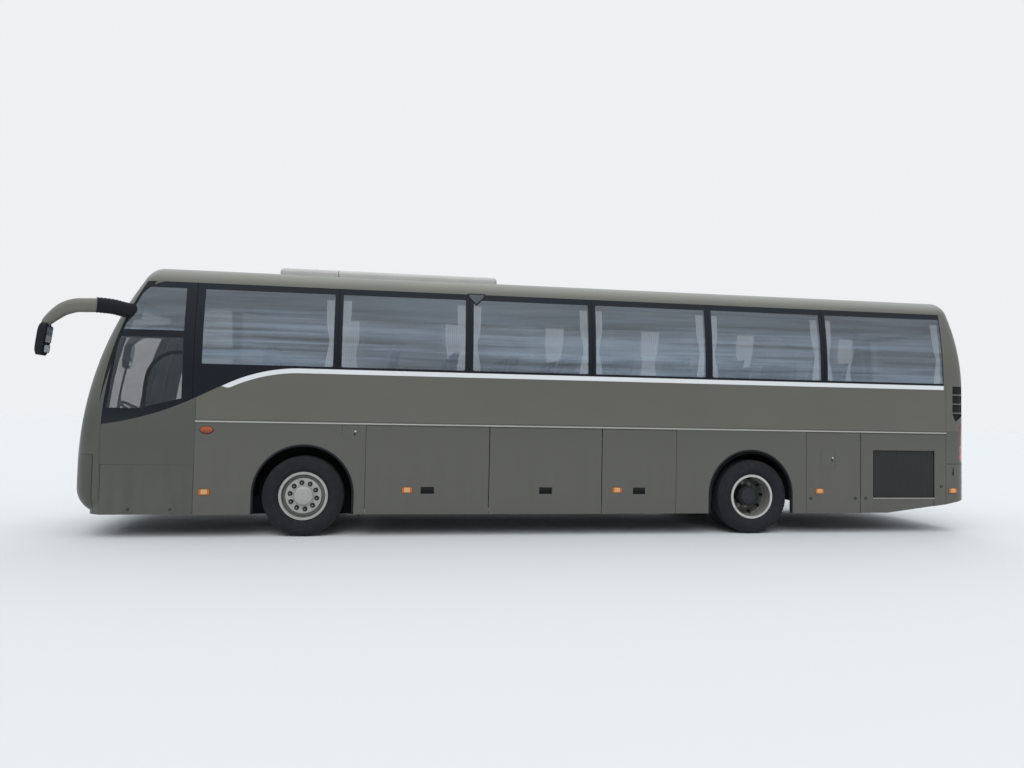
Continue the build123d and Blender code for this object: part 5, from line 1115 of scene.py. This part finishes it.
class COACH_OT_side_fittings(bpy.types.Operator):
    """Fit the driver's sliding window frame, the roof edge's plate and the corner peg"""

    bl_idname = "coach.side_fittings"
    bl_label = "Side fittings"

    def execute(self, context):
        shell = Shell()
        # The frame of the driver's sliding window: a flat bar along a D that leans with the glass
        line = curve([
            (5.09, 1.545), (5.085, 1.65), (5.078, 1.8), (5.062, 1.94), (5.025, 2.07), (4.93, 2.19), (4.79, 2.268),
            (4.627, 2.275),
        ])
        tube(shell, on_side(line[:, 0], line[:, 1], LEFT, 0.001), 0.021, 0.005, up=(0, 1, 0))
        # The pointed cover plate at the roof's edge, with a raised border
        plate = np.array([(0.118, 0.095), (-0.118, 0.095), (-0.118, 0.05), (0, -0.073), (0.118, 0.05)])
        border = ((0, -0.006), (0, 0.004), (0.08, 0.008), (0.16, 0.008), (0.2, 0.005))
        side_panel(shell, LEFT, 1.012, 3.085, plate, border)
        side_panel(shell, LEFT, 1.012, 3.091, plate, ((0.2, 0.0), (0.2, 0.0065), (0.4, 0.0085)), 1)
        # A small peg with an arrow-shaped foot at the tail's corner
        half = np.array([(0.004, 0.06), (-0.004, 0.06), (-0.003, 0.002), (-0.015, -0.008), (0, -0.062), (0.015, -0.008)])
        peg = np.concatenate([half, [(0.003, 0.002)]])
        side_panel(shell, LEFT, -5.966, 0.872, peg, ((0, -0.003), (0, 0.004), (0.15, 0.007)))
        shell.finish("side_fittings", "plastic slate", sharp=30)
        ledge = Shell()
        outline = rounded(GRILLE_X[1] - GRILLE_X[0], 0.013, 0.004, 3)
        place = (sum(GRILLE_X) / 2, GRILLE_Z[0] - 0.012)
        side_panel(ledge, LEFT, *place, outline, ((0, -0.001), (0, 0.006), (0.01, 0.008)))
        ledge.finish("grille_ledge", "ledge", "engine_side_door_left", "body_paint", sharp=30)
        return {"FINISHED"}


class COACH_OT_mirrors(bpy.types.Operator):
    """Build the mirrors: a ribbed sleeve, a curved tapering arm and a leaning head with two glasses"""

    bl_idname = "coach.mirrors"
    bl_label = "Mirrors"

    def execute(self, context):
        shell = Shell()
        sleeve = curve([(5.2, 1.12, 2.765), (5.33, 1.225, 2.778), (5.46, 1.312, 2.803), (5.618, 1.385, 2.809)], 22)
        ribs = 0.0025 + 0.0025 * np.cos(np.arange(len(sleeve)) * 2 * pi / 5)
        arm = curve([
            (5.58, 1.368, 2.807), (5.71, 1.414, 2.796), (5.83, 1.436, 2.785), (5.945, MIRROR_Y, 2.744),
            (6.02, MIRROR_Y, 2.692), (6.085, MIRROR_Y, 2.634), (6.132, MIRROR_Y, 2.583), (6.148, MIRROR_Y, 2.552),
        ], 8)
        share = np.linspace(0, 1, len(arm))
        tall = np.interp(share, [0, 0.35, 0.6, 0.8, 1], [0.085, 0.084, 0.073, 0.06, 0.048])
        deep = np.interp(share, [0, 0.5, 1], [0.062, 0.06, 0.045])
        height = np.linspace(0, 1, 19)
        bulge = 1 - np.abs(2 * height - 1) ** 5 * 0.35
        head = MIRROR_TOP + MIRROR_LEAN * height[:, None]
        tilt = -MIRROR_LEAN / np.linalg.norm(MIRROR_LEAN)
        rim = ((0, -0.004), (0, 0.003), (0.04, 0.004), (0.08, 0.0015))
        for side in (LEFT, RIGHT):
            flip = np.array((1, side, 1))
            tube(shell, sleeve * flip, 0.071 + ribs, 0.09 + ribs, count=28)
            tube(shell, arm * flip, deep, tall, count=28, tag=2)
            tube(shell, head * flip, 0.1 * bulge, 0.055 * bulge, up=(1, 0, 0), count=32, square=0.5)
            for share_down, tall_glass in ((0.36, 0.2), (0.8, 0.09)):
                place = (MIRROR_TOP + MIRROR_LEAN * share_down) * flip - (0.0545, 0, 0)
                glass = rounded(0.155, tall_glass, 0.022)
                panel(shell, place, (0, -1, 0), tilt, glass, rim)
                panel(shell, place, (0, -1, 0), tilt, glass, ((0.09, 0.0), (0.09, 0.0022)), 1)
        piece = shell.finish("door_mirrors", "rubber mirror_glass arm", sharp=50)
        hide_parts("mirrors")
        return {"FINISHED"}


# Boards in the front wheel bays, partly splash walls and partly dark sheets that stand in for the shade under the
# coach: where they start and end along the body, and their lowest and highest edges
SPLASH_AND_SHADE_BOARDS = ((FRONT_AXLE + 0.34, FRONT_AXLE + 0.86), (FRONT_AXLE - 0.64, FRONT_AXLE - 0.34))
SPLASH_AND_SHADE_Z = (0.17, 0.62)
FLAP_X = FRONT_AXLE - 0.69
FLAP_Z = (0.2, 0.56)


class COACH_OT_splash_guards(bpy.types.Operator):
    """Hang mud flaps behind the wheels, and boards that close the front wheel bays towards the middle and reach low as
    dark sheets standing in for the shade under the coach
    """

    bl_idname = "coach.splash_guards"
    bl_label = "Splash guards"

    def execute(self, context):
        shell = Shell()
        for side in (LEFT, RIGHT):
            for rear, front in SPLASH_AND_SHADE_BOARDS:
                bar(shell, (rear, side * 0.36, SPLASH_AND_SHADE_Z[0]), (front, side * 0.37, SPLASH_AND_SHADE_Z[1]), 0.003, 2)
            bar(shell, (FLAP_X - 0.006, side * 0.93, FLAP_Z[0]), (FLAP_X, side * 1.23, FLAP_Z[1]), 0.002, 2)
        shell.finish("splash_guards", "rubber")
        return {"FINISHED"}


class COACH_OT_cooler_bolts(bpy.types.Operator):
    """Bolt the roof cooler's cowls along both edges"""

    bl_idname = "coach.cooler_bolts"
    bl_label = "Cooler bolts"

    def execute(self, context):
        shell = Shell()
        head = ((0.0, -0.003), (0.014, -0.003), (0.0155, 0.0), (0.013, 0.003), (0.0, 0.0045))
        for x in COOLER_BOLT_XS:
            for side in (LEFT, RIGHT):
                turned(shell, head, (x, side * COOLER_BOLT_Y, COOLER_FLANGE_Z), 1, 12, axle=2)
        shell.finish("cooler_bolts", "dark_nut")
        return {"FINISHED"}


def curtain_grid(x, side, pleats, depth, steps=(28, 14)):
    """Points of a gathered curtain: x + w·(2u - 1), pleats as a cosine of u across, w drawn in round its tie."""
    u = np.linspace(0, 1, pleats * steps[1] + 1)[None, :]
    v = np.linspace(0, 1, steps[0])[:, None]
    tie = np.exp(-(((v - 0.62) / 0.2) ** 2))
    half = CURTAIN_REACH - 0.006 - 0.045 * tie
    wave = np.cos(2 * pi * pleats * u + 0.5 * np.sin(5 * v))
    deep = depth * (1 - 0.25 * tie) * (0.8 + 0.2 * np.cos(3 * u + 4 * v))
    z = CURTAIN_TOP_Z - 0.003 - (CURTAIN_TOP_Z - CURTAIN_FOOT_Z - 0.006) * v + 0 * u
    return on_side(x + half * (2 * u - 1), z, side, -WALL - 0.0135 + deep * wave)


class COACH_OT_curtains(bpy.types.Operator):
    """Hang a gathered curtain against each window pillar"""

    bl_idname = "coach.curtains"
    bl_label = "Curtains"

    def execute(self, context):
        sizes = context.scene.coach_sizes
        places = [*PILLARS[1:], WINDOW_REAR - PILLAR_WIDTH / 2]
        for side, hand in SIDES:
            for index, x in enumerate(places):
                shell = Shell()
                grid = curtain_grid(x, side, sizes.pleats, sizes.pleat_depth)
                shell.grid(grid, flip=side == LEFT)
                name = f"curtain_{hand}_{index + 1}"
                piece = shell.finish(name, "curtain_cloth", slot="curtain_cloth", closed=False, sharp=180)
                thick = piece.modifiers.new("cloth", "SOLIDIFY")
                thick.thickness = 0.0012
                thick.offset = 0
                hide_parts("curtains")
        return {"FINISHED"}


def soft_block(middle, size, square, steps=(26, 18)):
    """A crowned block: sizes times the powers |cos|^e and |sin|^e of two angles, so that its sides bulge."""
    u = np.linspace(-pi / 2, pi / 2, steps[1])[None, :]
    t = ring(steps[0])[:, None]

    def power(value):
        return np.sign(value) * np.abs(value) ** square

    out = np.empty((steps[0], steps[1], 3))
    out[..., 0] = middle[0] + size[0] / 2 * power(np.cos(u)) * power(np.cos(t))
    out[..., 1] = middle[1] + size[1] / 2 * power(np.cos(u)) * power(np.sin(t))
    out[..., 2] = middle[2] + size[2] / 2 * power(np.sin(u)) + 0 * t
    return out


def read(rows, name, width=1, kind=float):
    """One attribute of a mesh's rows as an array."""
    out = np.empty(len(rows) * width, kind)
    rows.foreach_get(name, out)
    return out


def swell(name, grid):
    """Blow a block up as cloth round its filling, each point by SWELL at most, and give back its points and faces."""
    shell = Shell()
    shell.grid(grid, wrap_u=True)
    piece = shell.finish(name, "")
    soft = piece.data
    remesh = piece.modifiers.new("remesh", "REMESH")
    remesh.mode = "VOXEL"
    remesh.voxel_size = CLOTH_PITCH
    graph = bpy.context.evaluated_depsgraph_get()
    start = bpy.data.meshes.new_from_object(piece.evaluated_get(graph))
    piece.modifiers.clear()
    piece.data = start
    cloth = piece.modifiers.new("cloth", "CLOTH")
    cloth.settings.use_pressure = True
    cloth.settings.uniform_pressure_force = 4
    cloth.settings.effector_weights.gravity = 0
    cloth.settings.quality = 5
    for step in range(1, CLOTH_FRAMES + 1):
        bpy.context.scene.frame_set(step)
    graph = bpy.context.evaluated_depsgraph_get()
    soft = bpy.data.meshes.new_from_object(piece.evaluated_get(graph))
    rest = read(start.vertices, "co", 3).reshape(-1, 3)
    move = read(soft.vertices, "co", 3).reshape(-1, 3) - rest
    reach = np.linalg.norm(move, axis=1, keepdims=True)
    soft.vertices.foreach_set("co", (rest + move * np.minimum(1, SWELL / np.maximum(reach, 1e-9))).ravel())
    bpy.context.scene.frame_set(1)
    points = read(soft.vertices, "co", 3).reshape(-1, 3)
    faces = read(soft.loops, "vertex_index", kind=int), read(soft.polygons, "loop_total", kind=int)
    bpy.data.objects.remove(piece)
    return points, *faces


def lean_back(points):
    """Lean the seat's back: x moves aft in step with the height above the cushion, and the top rounds off."""
    rise = (points[:, 2] - 0.44) / 0.67
    points = points.copy()
    points[:, 0] -= 0.19 * rise + 0.012 * np.sin(pi * rise)
    narrow = 1 - 0.1 * np.clip((rise - 0.72) / 0.28, 0, 1) ** 2
    points[:, 1] = (points[:, 1] - 0.225) * narrow + 0.225
    return points


def seat_places(side):
    """Each seat's front edge, inner edge and floor on one side: pairs in rows, with none at the middle door."""
    places = []
    for x in SEAT_ROWS:
        if side == LEFT or x - SEAT_PITCH >= MID_DOOR_X[1] or x <= MID_DOOR_X[0]:
            places += [(x, 0.22, FLOOR_Z), (x, 0.69, FLOOR_Z)]
    if side == LEFT:
        places.append((FRONT_AXLE + 1.96, 0.425, CAB_FLOOR_Z))
    return places


class COACH_OT_seats(bpy.types.Operator):
    """Upholster the seats: swollen cushions and backs on shells with legs and arm rests"""

    bl_idname = "coach.seats"
    bl_label = "Seats"

    def execute(self, context):
        cushion = swell("cushion", soft_block((-0.215, 0.225, 0.4), (0.4, 0.42, 0.1), 0.28))
        back = swell("back", soft_block((-0.4825, 0.225, 0.775), (0.075, 0.42, 0.64), 0.3))
        back = (lean_back(back[0]), *back[1:])
        for side, hand in SIDES:
            pads = Shell()
            frames = Shell()
            for x, y, floor in seat_places(side):
                place = np.array((x, y, floor))
                for points, corners, sizes in (cushion, back):
                    pads.soft((points + place) * (1, side, 1), corners, sizes, flip=side == RIGHT)
                seat_frame(frames, place, side)
            piece = pads.finish(f"seat_pads_{hand}", "seat_cloth", slot="seat_cloth", closed=False, sharp=180)
            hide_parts("seats")
            piece = frames.finish(f"seat_frames_{hand}", "shell plastic", slot="grey_plastic")
            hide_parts("seats")
        return {"FINISHED"}


def bar(shell, low, high, radius, axis, tag=0):
    """A rounded bar between two opposite corners: a rounded outline carried along one axis (0, 1 or 2)."""
    low, high = np.sort((low, high), axis=0)
    first, second = [i for i in range(3) if i != axis]
    outline = rounded(high[first] - low[first], high[second] - low[second], radius, 4)
    grid = np.empty((2, len(outline), 3))
    grid[..., first] = (low + high)[first] / 2 + outline[None, :, 0]
    grid[..., second] = (low + high)[second] / 2 + outline[None, :, 1]
    grid[0, :, axis] = low[axis]
    grid[1, :, axis] = high[axis]
    shell.grid(grid, wrap_v=True, caps=True, tag=tag)


def seat_frame(shell, place, side):
    """The seat's hard parts: a pan under the cushion, a leaning back shell, a leg, and an arm rest by the aisle."""
    flip = np.array((1, side, 1))
    for low, high, radius, axis, tag in (
        ((-0.42, 0.012, 0.332), (-0.02, 0.438, 0.352), 0.008, 0, 0),
        ((-0.39, 0.195, 0.0), (-0.09, 0.255, 0.335), 0.02, 2, 1),
        ((-0.41, 0.0, 0.6), (-0.12, 0.028, 0.635), 0.012, 0, 1),
    ):
        bar(shell, (place + low) * flip, (place + high) * flip, radius, axis, tag)
    height = np.linspace(0, 1, 9)
    back = -0.532 - 0.19 * height - 0.01 * np.sin(pi * height)
    line = np.stack([back, 0 * height + 0.225, 0.4 + 0.68 * height], axis=1)
    tube(shell, (line + place) * flip, 0.212, 0.0065, up=(1, 0, 0), count=16)


class COACH_OT_stage(bpy.types.Operator):
    """Lay the floor, hang the lamps and set the camera"""

    bl_idname = "coach.stage"
    bl_label = "Stage"

    def execute(self, context):
        colours = context.scene.coach_colours
        shade = Shader("studio_floor")
        tone = shade.mix(shade.noise(3, 3) * 0.05, colours.floor, (0.5, 0.5, 0.5))
        mesh = bpy.data.meshes.new("floor")
        reach, depth = 90, -0.001
        corners = [(x * reach, y * reach, depth) for x, y in ((-1, -1), (1, -1), (1, 1), (-1, 1))]
        mesh.from_pydata(corners, [], [(0, 1, 2, 3)])
        mesh.materials.append(shade.surface(Base_Color=tone, Roughness=0.9))
        stage = bpy.data.objects.new("studio_floor", mesh)
        context.scene.collection.objects.link(stage)
        light_world(context)
        hang_lamps(context)
        set_camera(context)
        context.scene.view_settings.view_transform = "Standard"
        return {"FINISHED"}


def light_world(context):
    """An overcast sky that brightens with height, for light and gloss; a plain pale backdrop to the camera."""
    context.scene.world = bpy.data.worlds.new("studio")
    shade = Shader(context.scene.world, "Generated")
    seen, clear = (shade.node("ShaderNodeLightPath", output=f"Is {ray} Ray") for ray in ("Camera", "Transmission"))
    rise = shade.node("ShaderNodeMapRange", inputs={"Value": shade.z, "From Max": 0.7, "To Min": 0.42, "To Max": 1.1})
    sky = shade.node("ShaderNodeBackground", inputs={"Color": (0.86, 0.94, 1.0, 1), "Strength": rise})
    backdrop = shade.node("ShaderNodeBackground", inputs={"Color": (0.93, 0.94, 0.95, 1), "Strength": 0.93})
    shade.end(shade.blend(seen | clear, sky, backdrop), "World")


def hang_lamps(context):
    """Three wide suns, hidden from gloss: high on the camera's side, low and weak behind, and overhead."""
    for name, place, strength in (
        ("key", (0.35, 1.0, 1.15), 1.35),
        ("fill", (-0.6, -1.0, 0.9), 0.7),
        ("top", (0.0, 0.1, 1.0), 0.6),
    ):
        lamp = bpy.data.lights.new(name, "SUN")
        lamp.angle = radians(50)
        lamp.energy = strength
        holder = bpy.data.objects.new(name, lamp)
        holder.visible_glossy = False
        holder.rotation_euler = Vector(place).to_track_quat("Z", "Y").to_euler()
        context.scene.collection.objects.link(holder)


def set_camera(context):
    """The photograph's view: beside the coach at eye height, a little ahead of its middle."""
    ways = np.array([(-1.0, 0, 0), (0, -1.0, 0), (0, 0, 1.0)])
    # Right, ahead and up: each turn, in degrees, leans the first way that it names towards the second
    for first, second, degrees in ((1, 0, 9.054), (1, 2, 2.092), (0, 2, 1.110)):
        near, far = cos(radians(degrees)), sin(radians(degrees))
        leaning = near * ways[first] + far * ways[second], near * ways[second] - far * ways[first]
        ways[first], ways[second] = leaning
    right, ahead, up = ways
    camera = bpy.data.cameras.new("camera")
    camera.sensor_width = 36
    camera.lens = 750 * 36 / 1024
    camera.clip_end = 300
    holder = bpy.data.objects.new("camera", camera)
    turn = Matrix(np.stack([right, up, -ahead], axis=1).tolist())
    holder.matrix_world = Matrix.Translation((2.085, 11.032, 1.626)) @ turn.to_4x4()
    context.scene.collection.objects.link(holder)
    context.scene.camera = holder


class COACH_PT_panel(bpy.types.Panel):
    """Lists the coach's sizes, colours and pieces"""

    bl_idname = "COACH_PT_panel"
    bl_label = "Touring coach"
    bl_space_type = "VIEW_3D"
    bl_region_type = "UI"
    bl_category = "Coach"

    def draw(self, context):
        for group in (context.scene.coach_sizes, context.scene.coach_colours):
            for name in type(group).__annotations__:
                self.layout.prop(group, name)
        for operator in OPERATORS:
            self.layout.operator(operator.bl_idname)


OPERATORS = (
    COACH_OT_finishes, COACH_OT_stripes, COACH_OT_tyres, COACH_OT_wheel_fittings, COACH_OT_arch_lips,
    COACH_OT_side_lamps, COACH_OT_locks, COACH_OT_side_fittings, COACH_OT_mirrors, COACH_OT_splash_guards,
    COACH_OT_cooler_bolts, COACH_OT_curtains, COACH_OT_seats, COACH_OT_stage,
)
CLASSES = (CoachSizes, CoachColours, *OPERATORS, COACH_PT_panel)


def register():
    """Register the classes and hang the two property groups on the scene."""
    for cls in CLASSES:
        bpy.utils.register_class(cls)
    bpy.types.Scene.coach_sizes = bpy.props.PointerProperty(type=CoachSizes)
    bpy.types.Scene.coach_colours = bpy.props.PointerProperty(type=CoachColours)


def unregister():
    """Undo register."""
    del bpy.types.Scene.coach_colours
    del bpy.types.Scene.coach_sizes
    for cls in reversed(CLASSES):
        bpy.utils.unregister_class(cls)


def main():
    """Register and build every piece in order."""
    register()
    bpy.ops.coach.finishes()
    bpy.ops.coach.stripes()
    bpy.ops.coach.tyres()
    bpy.ops.coach.wheel_fittings()
    bpy.ops.coach.arch_lips()
    bpy.ops.coach.side_lamps()
    bpy.ops.coach.locks()
    bpy.ops.coach.side_fittings()
    bpy.ops.coach.mirrors()
    bpy.ops.coach.splash_guards()
    bpy.ops.coach.cooler_bolts()
    bpy.ops.coach.curtains()
    bpy.ops.coach.seats()
    bpy.ops.coach.stage()


if __name__ == "__main__":
    main()
